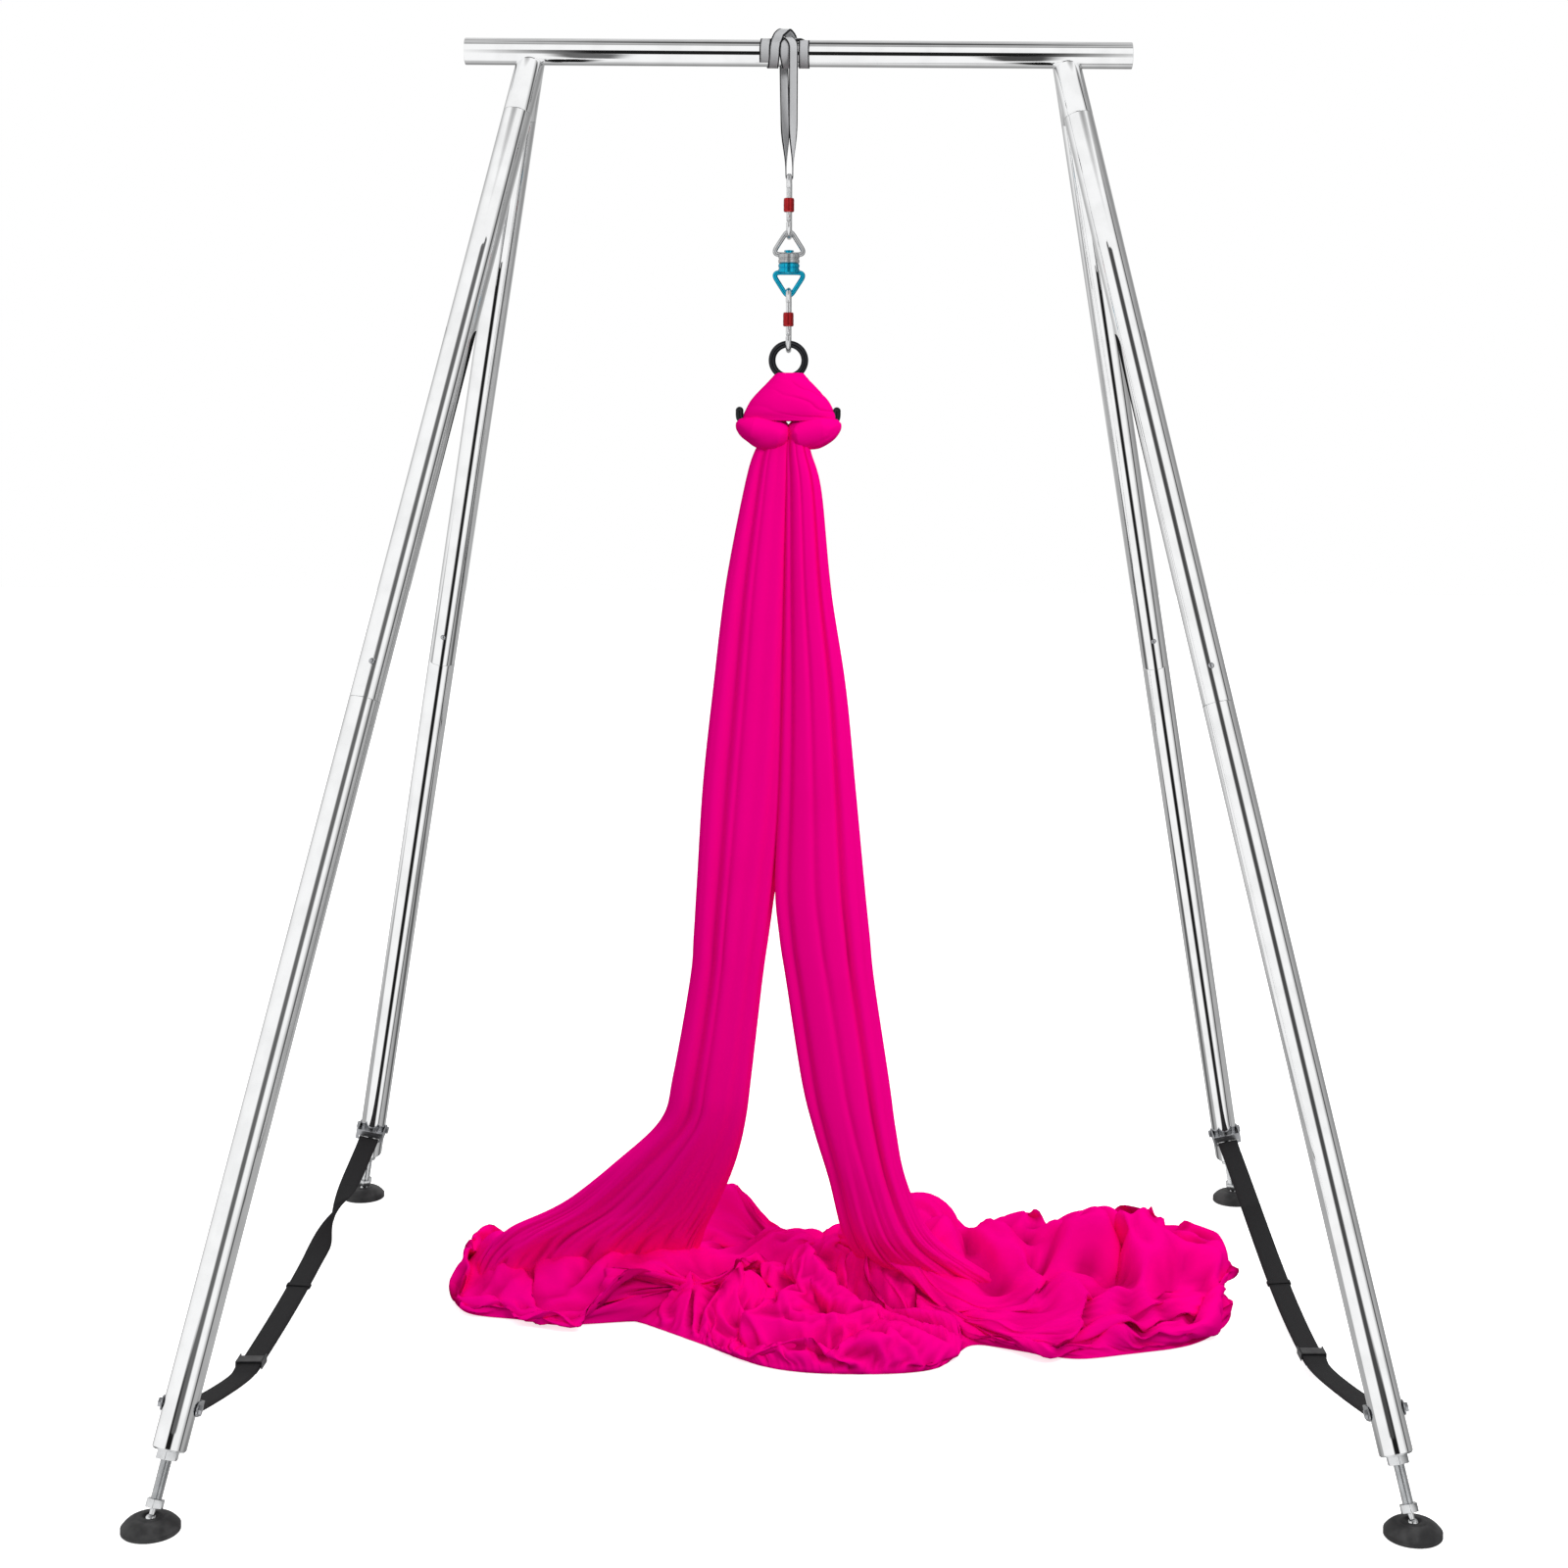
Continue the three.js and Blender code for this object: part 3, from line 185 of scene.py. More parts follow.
class Graph:
    """A node tree that is built from method calls."""

    def __init__(self, tree: bpy.types.NodeTree) -> None:
        """Empties the tree and keeps it."""
        self.tree = tree
        tree.nodes.clear()

    def node(
        self,
        kind: str,
        settings: dict[str, object] | None = None,
        inputs: dict[int | str, object] | None = None,
        output: int | str = 0,
    ) -> Wire:
        """Adds any node.

        Args:
            kind: The node's type.
            settings: Its properties, and "stops" for the stops of a colour ramp.
            inputs: Values or wires for its sockets, by number or name.
            output: Which of its outputs is returned.

        Returns:
            The chosen output.
        """
        made = self.tree.nodes.new(kind)
        for key, value in (settings or {}).items():
            if key == "stops":
                elements = made.color_ramp.elements
                while len(elements) < len(value):
                    elements.new(1.0)
                for element, (position, colour) in zip(elements, value):
                    element.position = position
                    element.color = (*colour, 1.0)
            else:
                setattr(made, key, value)
        for key, value in (inputs or {}).items():
            socket = made.inputs[key]
            if isinstance(value, Wire):
                self.tree.links.new(value.socket, socket)
            elif isinstance(value, tuple) and len(value) == 3 and socket.type == "RGBA":
                socket.default_value = (*value, 1.0)
            else:
                socket.default_value = value
        return Wire(self, made.outputs[output]) if made.outputs else Wire(self, None)

    def blend(self, factor: Wire | float, first: Wire | Colour, second: Wire | Colour) -> Wire:
        """Mixes two colours.

        Args:
            factor: How much of the second colour shows.
            first: The colour at zero.
            second: The colour at one.

        Returns:
            The mixed colour.
        """
        return self.node("ShaderNodeMix", {"data_type": "RGBA"}, {0: factor, 6: first, 7: second}, 2)

    def place(self, scale: tuple[float, float, float] = (1, 1, 1)) -> Wire:
        """Object coordinates, scaled along each axis."""
        where = self.node("ShaderNodeTexCoord", output="Object")
        return self.node("ShaderNodeMapping", None, {"Vector": where, "Scale": scale})

    def cloth(self) -> tuple[Wire, Wire]:
        """The piece's own UV map: metres across the cloth and metres along it."""
        where = self.node("ShaderNodeUVMap", {"uv_map": UV_NAME})
        split = self.node("ShaderNodeSeparateXYZ", None, {0: where})
        return split, Wire(self, split.socket.node.outputs[1])

    def grain(self, where: Wire, scale: float, detail: float = 3, distortion: float = 0) -> Wire:
        """Noise over a surface.

        Args:
            where: The coordinates that it reads.
            scale: How fine it is.
            detail: How many octaves it has.
            distortion: How far it is warped.

        Returns:
            The noise value.
        """
        inputs = {"Vector": where, "Scale": scale, "Detail": detail, "Distortion": distortion}
        return self.node("ShaderNodeTexNoise", None, inputs)

    def bump(self, height: Wire, strength: float, distance: float) -> Wire:
        """A normal from a height."""
        return self.node(
            "ShaderNodeBump", None, {"Height": height, "Strength": strength, "Distance": distance}
        )

    def surface(self, **inputs: object) -> None:
        """Adds the Principled shader and the output.

        Args:
            inputs: Values or wires for the shader, with underscores for the spaces in their names.
        """
        named = {key.replace("_", " "): value for key, value in inputs.items()}
        shader = self.node("ShaderNodeBsdfPrincipled", None, named)
        self.node("ShaderNodeOutputMaterial", None, {0: shader})


UV_NAME = "cloth"
# the mesh attribute that holds the painted shade in the folds of the cloth
FOLD_SHADE_NAME = "hollow"


@dataclass(frozen=True)
class Finish:
    """A material and the slot of the record that it stands for."""

    name: str
    slot: str
    colour: Colour

    def material(self) -> bpy.types.Material:
        """Builds the material on its first use, and returns it."""
        name = f"{self.name}_finish"
        found = bpy.data.materials.get(name)
        if found:
            return found
        made = bpy.data.materials.new(name)
        made.use_nodes = True
        self.paint(Graph(made.node_tree))
        return made

    def paint(self, graph: Graph) -> None:
        """Adds the finish's nodes."""
        graph.surface(Base_Color=self.colour)


@dataclass(frozen=True)
class Metal(Finish):
    """Plated, polished or anodised metal with faint wear."""

    rough: float = 0.1
    wear: float = 0.06
    grain_scale: float = 18.0
    shade: float = 0.85

    def paint(self, graph: Graph) -> None:
        """Varies the roughness and the colour a little over the surface."""
        clouds = graph.grain(graph.place(), self.grain_scale, 5)
        streaks = graph.grain(graph.place((60, 60, 4)), self.grain_scale / 3, 2)
        dull = tuple(part * self.shade for part in self.colour)
        colour = graph.blend(clouds.ramp(0.35, 0.7), self.colour, dull)
        rough = self.rough + self.wear * clouds.ramp(0.4, 0.8) + self.wear * 0.5 * streaks
        graph.surface(Base_Color=colour, Metallic=1.0, Roughness=rough)


@dataclass(frozen=True)
class Moulded(Finish):
    """Moulded rubber or plastic with a fine grain."""

    rough: float = 0.6
    grain_depth: float = 0.2 * MM
    dust: float = 0.04

    def paint(self, graph: Graph) -> None:
        """Adds a pebbled surface and a little dust."""
        pebbles = graph.grain(graph.place(), 900, 2)
        dusty = tuple(part + self.dust for part in self.colour)
        colour = graph.blend(graph.grain(graph.place(), 25).ramp(0.4, 0.75), self.colour, dusty)
        normal = graph.bump(pebbles, 0.4, self.grain_depth)
        graph.surface(Base_Color=colour, Roughness=self.rough + 0.1 * pebbles, Normal=normal)


@dataclass(frozen=True)
class Webbing(Finish):
    """Flat woven webbing, which reads metres across and along from its UV map."""

    width: float = 50 * MM
    edge: Colour = (0.02, 0.02, 0.022)
    edge_width: float = 1.5 * MM
    rib: float = 1.6 * MM

    def paint(self, graph: Graph) -> None:
        """Adds the ribs, the selvedges and the weave, with a painted highlight on the raised weave."""
        across, along = graph.cloth()
        ribs = (along * (FULL_TURN / self.rib)).sine()
        warp = (across * (FULL_TURN / (1.2 * self.rib))).sine()
        weave = ribs * warp * 0.5 + 0.5
        edge = abs(across - self.width / 2).ramp(
            self.width / 2 - self.edge_width, self.width / 2 - 0.7 * self.edge_width
        )
        # painted highlight: the raised threads of the weave are painted lighter, as if they caught the light
        lit = tuple(min(1.0, part * 1.35 + 0.015) for part in self.colour)
        colour = graph.blend(weave, self.colour, lit)
        graph.surface(
            Base_Color=graph.blend(edge, colour, self.edge),
            Roughness=0.8,
            Specular_IOR_Level=0.15,
            Normal=graph.bump(weave, 0.5, 0.3 * MM),
        )


@dataclass(frozen=True)
class Silk(Finish):
    """Soft stretch fabric with a fine knit."""

    deep: Colour = (0.8, 0.0, 0.18)
    # the colour of the painted shade in the folds of the cloth
    shade: Colour = (0.36, 0.0, 0.06)

    def paint(self, graph: Graph) -> None:
        """Adds the knit, small creases, soft clouds of colour and painted shade in the folds."""
        across, along = graph.cloth()
        knit = (across * (FULL_TURN / (1.4 * MM))).sine() * (along * (FULL_TURN / (1.4 * MM))).sine()
        clouds = graph.grain(graph.place(), 7, 2)
        crease = graph.grain(graph.place((1, 1, 0.25)), 45, 3, 0.8)
        # painted shade: the colour is darkened towards the shade colour where the mesh folds inwards
        hollow = graph.node("ShaderNodeAttribute", {"attribute_name": FOLD_SHADE_NAME}, output="Fac")
        colour = graph.blend(clouds.ramp(0.45, 0.95) * 0.25, self.colour, self.deep)
        colour = graph.blend(hollow, colour, self.shade)
        normal = graph.bump(crease + knit * 0.04, 0.12, 2.5 * MM)
        graph.surface(Base_Color=colour, Roughness=0.8, Specular_IOR_Level=0.0, Normal=normal)


CHROME = Metal("bright_chrome", "chrome_tube", (0.93, 0.935, 0.94), 0.03, 0.03, shade=0.93)
ZINC = Metal("zinc_plate", "zinc_steel", (0.5, 0.51, 0.53), 0.3, 0.12, 30)
BRIGHT_ZINC = Metal("bright_zinc", "zinc_steel", (0.74, 0.75, 0.76), 0.18, 0.08, 30)
DARK_ZINC = Metal("dark_zinc", "zinc_steel", (0.1, 0.1, 0.105), 0.35, 0.1, 30)
SATIN_ALLOY = Metal("satin_alloy", "silver_alloy", (0.56, 0.57, 0.58), 0.22, 0.08, 40)
ALLOY = Metal("polished_alloy", "silver_alloy", (0.84, 0.845, 0.855), 0.16, 0.06, 40)
RED = Metal("red_anodised", "red_alloy", (0.52, 0.03, 0.035), 0.28, 0.08, 60)
BLUE = Metal("blue_anodised", "blue_alloy", (0.014, 0.44, 0.66), 0.2, 0.08, 60)
BLACK_ALLOY = Metal("black_anodised", "black_alloy", (0.035, 0.036, 0.04), 0.18, 0.1, 60)
RUBBER = Moulded("pad_rubber", "pad_rubber", (0.014, 0.014, 0.015), 0.5)
PLASTIC = Moulded("black_plastic", "black_plastic", (0.016, 0.016, 0.018), 0.45)
BLACK_WEB = Webbing("black_webbing", "black_webbing", (0.012, 0.012, 0.013))
GREY_WEB = Webbing(
    "grey_webbing", "grey_webbing", (0.46, 0.465, 0.475), 20 * MM, (0.012, 0.012, 0.014), 2.6 * MM, 1.3 * MM
)
GREY_WIND = Webbing(
    "grey_winding", "grey_webbing", (0.4, 0.405, 0.415), 24 * MM, (0.012, 0.012, 0.014), 3.4 * MM, 1.3 * MM
)
SILK = Silk("pink_silk", "pink_silk", (0.97, 0.0, 0.27))


# Shaping


def turned(profile: Profile, steps: int = 64) -> bmesh.types.BMesh:
    """Spins a profile of radius and height pairs about Z.

    Args:
        profile: The outline, from one end to the other.
        steps: How many facets go round.

    Returns:
        The turned mesh.
    """
    mesh = bmesh.new()
    corners = [mesh.verts.new((radius, 0, height)) for radius, height in profile]
    edges = [mesh.edges.new(pair) for pair in zip(corners, corners[1:])]
    bmesh.ops.spin(
        mesh, geom=corners + edges, cent=(0, 0, 0), axis=(0, 0, 1), angle=FULL_TURN, steps=steps,
        use_merge=True,
    )
    return tidied(mesh)


def ring(profile: Profile, steps: int = 64) -> bmesh.types.BMesh:
    """Spins an outline that closes on itself about Z."""
    return turned([*profile, profile[0]], steps)


def tidied(mesh: bmesh.types.BMesh) -> bmesh.types.BMesh:
    """Merges doubled corners and turns the faces outwards."""
    bmesh.ops.remove_doubles(mesh, verts=mesh.verts, dist=0.001 * MM)
    bmesh.ops.recalc_face_normals(mesh, faces=mesh.faces)
    return mesh


def block(low: Sequence[float], high: Sequence[float], edge: float = 0.0) -> bmesh.types.BMesh:
    """A box between two corners, with its edges rounded.

    Args:
        low: The lowest corner.
        high: The highest corner.
        edge: The width of the rounding.

    Returns:
        The box.
    """
    mesh = bmesh.new()
    bmesh.ops.create_cube(mesh, size=1)
    size = [b - a for a, b in zip(low, high)]
    bmesh.ops.scale(mesh, vec=size, verts=mesh.verts)
    bmesh.ops.translate(mesh, vec=[(a + b) / 2 for a, b in zip(low, high)], verts=mesh.verts)
    return rounded(mesh, edge) if edge else mesh


def rounded(mesh: bmesh.types.BMesh, width: float, segments: int = 3) -> bmesh.types.BMesh:
    """Bevels every sharp edge of a mesh."""
    sharp = [e for e in mesh.edges if e.is_manifold and e.calc_face_angle(0) > math.radians(30)]
    bmesh.ops.bevel(
        mesh, geom=sharp, offset=width, affect="EDGES", segments=segments, profile=0.5, material=-1
    )
    return mesh


def merged(*meshes: bmesh.types.BMesh) -> bmesh.types.BMesh:
    """Puts several meshes into the first one."""
    first = meshes[0]
    for other in meshes[1:]:
        carrier = bpy.data.meshes.new("carrier")
        other.to_mesh(carrier)
        first.from_mesh(carrier)
        other.free()
        bpy.data.meshes.remove(carrier)
    return first


def moved(mesh: bmesh.types.BMesh, place: Matrix) -> bmesh.types.BMesh:
    """Puts a mesh in its place."""
    mesh.transform(place)
    if place.determinant() < 0:
        bmesh.ops.reverse_faces(mesh, faces=mesh.faces)
    return mesh


def linked(name: str, data: bpy.types.ID) -> bpy.types.Object:
    """Puts an object with its data in the scene."""
    made = bpy.data.objects.new(name, data)
    bpy.context.scene.collection.objects.link(made)
    return made


def object_of(mesh: bmesh.types.BMesh, name: str) -> bpy.types.Object:
    """Makes an object of a mesh, which is freed.

    Args:
        mesh: The shape.
        name: The name of the object and of its mesh.

    Returns:
        The object, in the scene.
    """
    data = bpy.data.meshes.new(name)
    mesh.to_mesh(data)
    mesh.free()
    return linked(name, data)


def evaluated(holder: bpy.types.Object) -> bpy.types.Mesh:
    """What an object's bevel or modifiers make of it."""
    return bpy.data.meshes.new_from_object(holder.evaluated_get(bpy.context.evaluated_depsgraph_get()))


def taken(shape: bpy.types.Mesh) -> bmesh.types.BMesh:
    """Takes a mesh out of Blender's data, where it is removed.

    Args:
        shape: The mesh.

    Returns:
        The same shape, ready to be worked on.
    """
    mesh = bmesh.new()
    mesh.from_mesh(shape)
    bpy.data.meshes.remove(shape)
    return mesh


def discard(*holders: bpy.types.Object) -> None:
    """Removes objects together with their meshes."""
    for holder in holders:
        data = holder.data
        bpy.data.objects.remove(holder)
        bpy.data.meshes.remove(data)


def rod(
    points: Sequence[Vector], radius: float, sides: int = 6, closed: bool = False
) -> bmesh.types.BMesh:
    """A round rod along a list of points.

    Args:
        points: The rod's middle line.
        radius: Half its thickness.
        sides: The bevel resolution of a quarter of its outline.
        closed: Whether the line closes on itself.

    Returns:
        The rod, with its ends closed.
    """
    data = bpy.data.curves.new("rod", "CURVE")
    data.dimensions = "3D"
    data.bevel_depth = radius
    data.bevel_resolution = sides
    data.use_fill_caps = not closed
    track = data.splines.new("POLY")
    track.points.add(len(points) - 1)
    for target, point in zip(track.points, points):
        target.co = (*point, 1)
    track.use_cyclic_u = closed
    return from_curve(data)


def from_curve(data: bpy.types.Curve) -> bmesh.types.BMesh:
    """Turns a curve into a mesh and removes the curve."""
    holder = linked("holder", data)
    mesh = taken(evaluated(holder))
    bpy.data.objects.remove(holder)
    bpy.data.curves.remove(data)
    return tidied(mesh)


def rounded_outline(corners: Sequence[Sequence[float]], radius: float, steps: int = 10) -> list[Vector]:
    """A polygon with its corners rounded.

    Args:
        corners: The polygon's corners, with X and Y.
        radius: How far along each side the rounding starts.
        steps: How many pieces each corner's curve has.

    Returns:
        The points of the outline.
    """
    points: list[Vector] = []
    for i, corner in enumerate(Vector((*c, 0)) for c in corners):
        before = Vector((*corners[i - 1], 0))
        after = Vector((*corners[(i + 1) % len(corners)], 0))
        start = corner + (before - corner).normalized() * radius
        end = corner + (after - corner).normalized() * radius
        for k in range(steps + 1):
            share = k / steps
            near = start.lerp(corner, share)
            far = corner.lerp(end, share)
            points.append(near.lerp(far, share))
    return points


def drape(
    columns: int,
    rows: int,
    where: Callable[[float, float], Vector],
    size: Callable[[float, float], tuple[float, float]],
) -> bmesh.types.BMesh:
    """Lays a grid over a surface, with a UV map in metres.

    Args:
        columns: How many cells run across.
        rows: How many cells run along.
        where: Gives the place of a point from its shares across and along.
        size: Gives the UV of the same point, in metres.

    Returns:
        The sheet, one face thick.
    """
    mesh = bmesh.new()
    bmesh.ops.create_grid(mesh, x_segments=columns, y_segments=rows, size=0.5)
    layer = mesh.loops.layers.uv.new(UV_NAME)
    shares = {v.index: (v.co.x + 0.5, v.co.y + 0.5) for v in indexed(mesh)}
    for face in mesh.faces:
        for loop in face.loops:
            loop[layer].uv = size(*shares[loop.vert.index])
    for vert in mesh.verts:
        vert.co = where(*shares[vert.index])
    return mesh


def indexed(mesh: bmesh.types.BMesh) -> bmesh.types.BMVertSeq:
    """The corners of a mesh, with their numbers brought up to date."""
    mesh.verts.index_update()
    return mesh.verts


def smooth(share: float, low: float = 0.0, high: float = 1.0) -> float:
    """A smooth step between two limits."""
    t = min(max((share - low) / (high - low), 0.0), 1.0)
    return t * t * (3 - 2 * t)


def ribbon(
    points: Sequence[Vector],
    across: Sequence[Vector],
    width: float,
    closed: bool = False,
    columns: int = 2,
) -> bmesh.types.BMesh:
    """A flat band along a list of points.

    Args:
        points: The band's middle line.
        across: Which way its width runs at each point.
        width: Its width.
        closed: Whether the line closes on itself.
        columns: How many faces go across.

    Returns:
        The band, one face thick.
    """
    line = [*points, points[0]] if closed else list(points)
    ways = [*across, across[0]] if closed else list(across)
    lengths = [0.0]
    for a, b in zip(line, line[1:]):
        lengths.append(lengths[-1] + (b - a).length)
    count = len(line)
    sides = []
    for i, way in enumerate(ways):
        before = line[i - 1] if i else (line[-2] if closed else line[0])
        after = line[i + 1] if i < count - 1 else (line[1] if closed else line[-1])
        tangent = (after - before).normalized()
        sides.append((way - tangent * way.dot(tangent)).normalized())

    def where(u: float, v: float) -> Vector:
        """The place of a point of the band."""
        i = round(v * (count - 1))
        return line[i] + sides[i] * (u - 0.5) * width

    def size(u: float, v: float) -> tuple[float, float]:
        """Metres across and along."""
        return u * width, lengths[round(v * (count - 1))]

    mesh = drape(columns, count - 1, where, size)
    if closed:
        bmesh.ops.remove_doubles(mesh, verts=mesh.verts, dist=0.001 * MM)
    return mesh


def piece(
    mesh: bmesh.types.BMesh,
    name: str,
    finish: Finish,
    body: str,
    replaces: Iterable[str] = (),
    crisp: float = 35.0,
    wall: float = 0.0,
    soften: int = 0,
) -> bpy.types.Object:
    """Makes a finished object of a mesh, and hangs it on its body.

    Args:
        mesh: The shape, which is freed.
        name: The piece's name.
        finish: What it is made of.
        body: The body that it moves with.
        replaces: The solids that it stands for.
        crisp: The angle in degrees over which an edge stays sharp.
        wall: The thickness that a sheet is given.
        soften: How many levels of subdivision it gets.

    Returns:
        The object.
    """
    made = object_of(mesh, name)
    data = made.data
    data.materials.append(finish.material())
    data.polygons.foreach_set("use_smooth", [True] * len(data.polygons))
    data.set_sharp_from_angle(angle=math.radians(crisp))
    if soften:
        levels = made.modifiers.new("subdivision", "SUBSURF")
        levels.levels = levels.render_levels = soften
    if wall:
        solid = made.modifiers.new("wall", "SOLIDIFY")
        solid.thickness = wall
        solid.offset = 0
    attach(made, body)
    if replaces:
        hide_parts(*replaces)
    LOG.info("%s: %d faces", name, len(data.polygons))
    return made


def carved(mesh: bmesh.types.BMesh, *tools: bmesh.types.BMesh) -> bmesh.types.BMesh:
    """Cuts tools out of a mesh.

    Args:
        mesh: The mesh, which is freed.
        tools: The closed meshes that are taken away, which are freed.

    Returns:
        What is left.
    """
    holders = [object_of(shape, "carving") for shape in (mesh, *tools)]
    for tool in holders[1:]:
        cut = holders[0].modifiers.new("cut", "BOOLEAN")
        cut.operation = "DIFFERENCE"
        cut.solver = "EXACT"
        cut.object = tool
    result = taken(evaluated(holders[0]))
    discard(*holders)
    return result


def softened(frame: dict, node: str, edge: float, body: str, finish: Finish) -> bpy.types.Object:
    """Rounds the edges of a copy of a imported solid.

    Args:
        frame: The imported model.
        node: The solid's name.
        edge: The width of the rounding.
        body: The body that it moves with.
        finish: What it is made of.

    Returns:
        The object that stands for the solid.
    """
    mesh = bmesh.new()
    mesh.from_mesh(frame["nodes"][node].data)
    bmesh.ops.remove_doubles(mesh, verts=mesh.verts, dist=0.01 * MM)
    bmesh.ops.dissolve_limit(
        mesh, angle_limit=math.radians(2), verts=mesh.verts, edges=mesh.edges
    )
    made = piece(mesh, f"{node}_plate", finish, body, [node], 40)
    bevel = made.modifiers.new("edge", "BEVEL")
    bevel.width = edge
    bevel.segments = 3
    bevel.limit_method = "ANGLE"
    bevel.angle_limit = math.radians(35)
    bevel.harden_normals = False
    return made


def arc(
    centre: Sequence[float], radius: float, start: float, end: float, steps: int
) -> list[tuple[float, float]]:
    """Points on an arc in a plane.

    Args:
        centre: The arc's centre.
        radius: Its radius.
        start: The first angle in degrees.
        end: The last angle in degrees.
        steps: How many pieces it has.

    Returns:
        The points.
    """
    angles = [math.radians(start + (end - start) * i / steps) for i in range(steps + 1)]
    return [(centre[0] + radius * math.cos(a), centre[1] + radius * math.sin(a)) for a in angles]


# The stand


@dataclass
class LegLine:
    """Where a leg stands: Z up the leg from the ball of its foot, Y towards the other leg."""

    side: Side
    end: End
    apex_half: float = 607 * MM
    apex_up: float = 2880 * MM
    foot_half: float = 1180 * MM
    foot_deep: float = 1000 * MM
    ball_up: float = 21 * MM

    @property
    def name(self) -> str:
        """The end and side of the leg, as its nodes are named."""
        return f"{self.end.name}_{self.side.name}".lower()

    @property
    def foot(self) -> Vector:
        """The centre of the ball of the foot."""
        return Vector((self.side.value * self.foot_half, self.end.value * self.foot_deep, self.ball_up))

    @property
    def apex(self) -> Vector:
        """Where the two legs of a pair meet."""
        return Vector((self.side.value * self.apex_half, 0, self.apex_up))

    @property
    def length(self) -> float:
        """The distance from the ball to the apex."""
        return (self.apex - self.foot).length

    @property
    def matrix(self) -> Matrix:
        """The leg's own frame."""
        up = (self.apex - self.foot).normalized()
        inward = Vector((0, -self.end.value, 0))
        inward = (inward - up * inward.dot(up)).normalized()
        across = inward.cross(up)
        turn = Matrix((across, inward, up)).transposed().to_4x4()
        return Matrix.Translation(self.foot) @ turn


LEGS = [LegLine(side, end) for side in Side for end in End]
BAR_RADIUS = 30 * MM
BAR_UP = 2920 * MM
TUBE_END = 128 * MM


def legs_of(side: Side) -> list[LegLine]:
    """The two legs of one side."""
    return [leg for leg in LEGS if leg.side is side]


@dataclass
class Stand:
    """The crossbar, its sockets and the four legs."""

    bar_half: float = 750 * MM
    bar_radius: float = BAR_RADIUS
    bar_up: float = BAR_UP
    bar_wall: float = 3 * MM
    plug_depth: float = 18 * MM
    plug_wall: float = 3 * MM
    tube_radius: float = 32.5 * MM
    tube_bore: float = 30 * MM
    tube_end: float = TUBE_END
    seam: float = 1600 * MM
    spigot_half: float = 130 * MM
    spigot_bore: float = 27.2 * MM
    socket: float = 112 * MM
    socket_over: float = 24 * MM
    bead_radius: float = 1.6 * MM
    bead_steps: int = 40
    button_rise: float = 77 * MM
    button_radius: float = 5.7 * MM
    button_room: float = 0.8 * MM
    button_face: float = 25 * MM
    button_flange: float = 9 * MM
    flange_thickness: float = 1.6 * MM
    button_proud: float = 3.5 * MM
    button_dome: float = 2.4 * MM
    edge: float = 0.9 * MM

    def build(self) -> None:
        """Builds every piece of the stand."""
        self.crossbar()
        for side in Side:
            self.leg_socket(side)
        for leg in LEGS:
            self.tubes(leg)
            self.button(leg)

    def pipe(self, low: float, high: float, outer: float, inner: float) -> bmesh.types.BMesh:
        """A tube along Z with its rims softened.

        Args:
            low: Its lower end.
            high: Its upper end.
            outer: Its outer radius.
            inner: Its inner radius.

        Returns:
            The tube.
        """
        e = self.edge
        outline = [(inner, low), (outer - e, low), *arc((outer - e, low + e), e, -90, 0, 4)]
        outline += [*arc((outer - e, high - e), e, 0, 90, 4), (inner, high)]
        return ring(outline, 72)

    def crossbar(self) -> None:
        """The bar and the two plugs in its ends."""
        lay = Matrix.Translation((0, 0, self.bar_up)) @ Matrix.Rotation(math.pi / 2, 4, "Y")
        bore = self.bar_radius - self.bar_wall
        bar = moved(self.pipe(-self.bar_half, self.bar_half, self.bar_radius, bore), lay)
        piece(bar, "bar_tube", CHROME, "stand", ["crossbar"])
        for side in Side:
            plug_radius = bore - FIT
            depth = self.plug_depth
            inside = plug_radius - self.plug_wall
            outline = [(0, 1.5 * MM), (plug_radius * 0.55, 1.2 * MM), (plug_radius * 0.7, 0.4 * MM)]
            outline += [(plug_radius - 1 * MM, 0), (plug_radius, 0.8 * MM), (plug_radius, depth)]
            outline += [(inside, depth), (inside, 3 * MM), (0, 4.5 * MM)]
            turn = Matrix.Rotation(-side.value * math.pi / 2, 4, "Y")
            at = Matrix.Translation((side.value * (self.bar_half - FIT), 0, self.bar_up))
            name = side.label
            plug = moved(turned(outline), at @ turn)
            piece(plug, f"bar_plug_{name}", PLASTIC, "stand", [f"crossbar_cap_{name}"])

    def leg_socket(self, side: Side) -> None:
        """Two mitred stubs, welded together under the bar with a bead round the saddle."""
        stubs = []
        for leg in legs_of(side):
            low, high = leg.length - self.socket, leg.length + self.socket_over
            stub = moved(self.pipe(low, high, self.tube_radius, self.tube_bore), leg.matrix)
            keep = Vector((0, -leg.end.value, 0))
            bmesh.ops.bisect_plane(
                stub, geom=stub.verts[:] + stub.edges[:] + stub.faces[:], plane_co=(0, 0, 0),
                plane_no=keep, clear_outer=True, dist=0.001 * MM,
            )
            stubs += [stub, self.saddle_bead(leg)]
        name = side.label
        piece(merged(*stubs), f"socket_{name}", CHROME, "stand", [f"leg_socket_{name}"], 30)

    def saddle_bead(self, leg: LegLine) -> bmesh.types.BMesh:
        """The weld where a stub meets the bar.

        Args:
            leg: The leg of the stub.

        Returns:
            A thin bead along the line where the two tubes meet.
        """
        points = []
        search = 60
        for i in range(self.bead_steps + 1):
            turn = FULL_TURN * i / self.bead_steps
            ray = Vector((math.cos(turn), math.sin(turn), 0)) * self.tube_radius
            for k in range(2 * search):
                up = leg.length - search * MM + k * 1 * MM
                at = leg.matrix @ Vector((ray.x, ray.y, up))
                if at.y * leg.end.value < 0:
                    break
                if math.hypot(at.y, at.z - self.bar_up) < self.bar_radius:
                    points.append(at)
                    break
        return rod(points, self.bead_radius, 3)

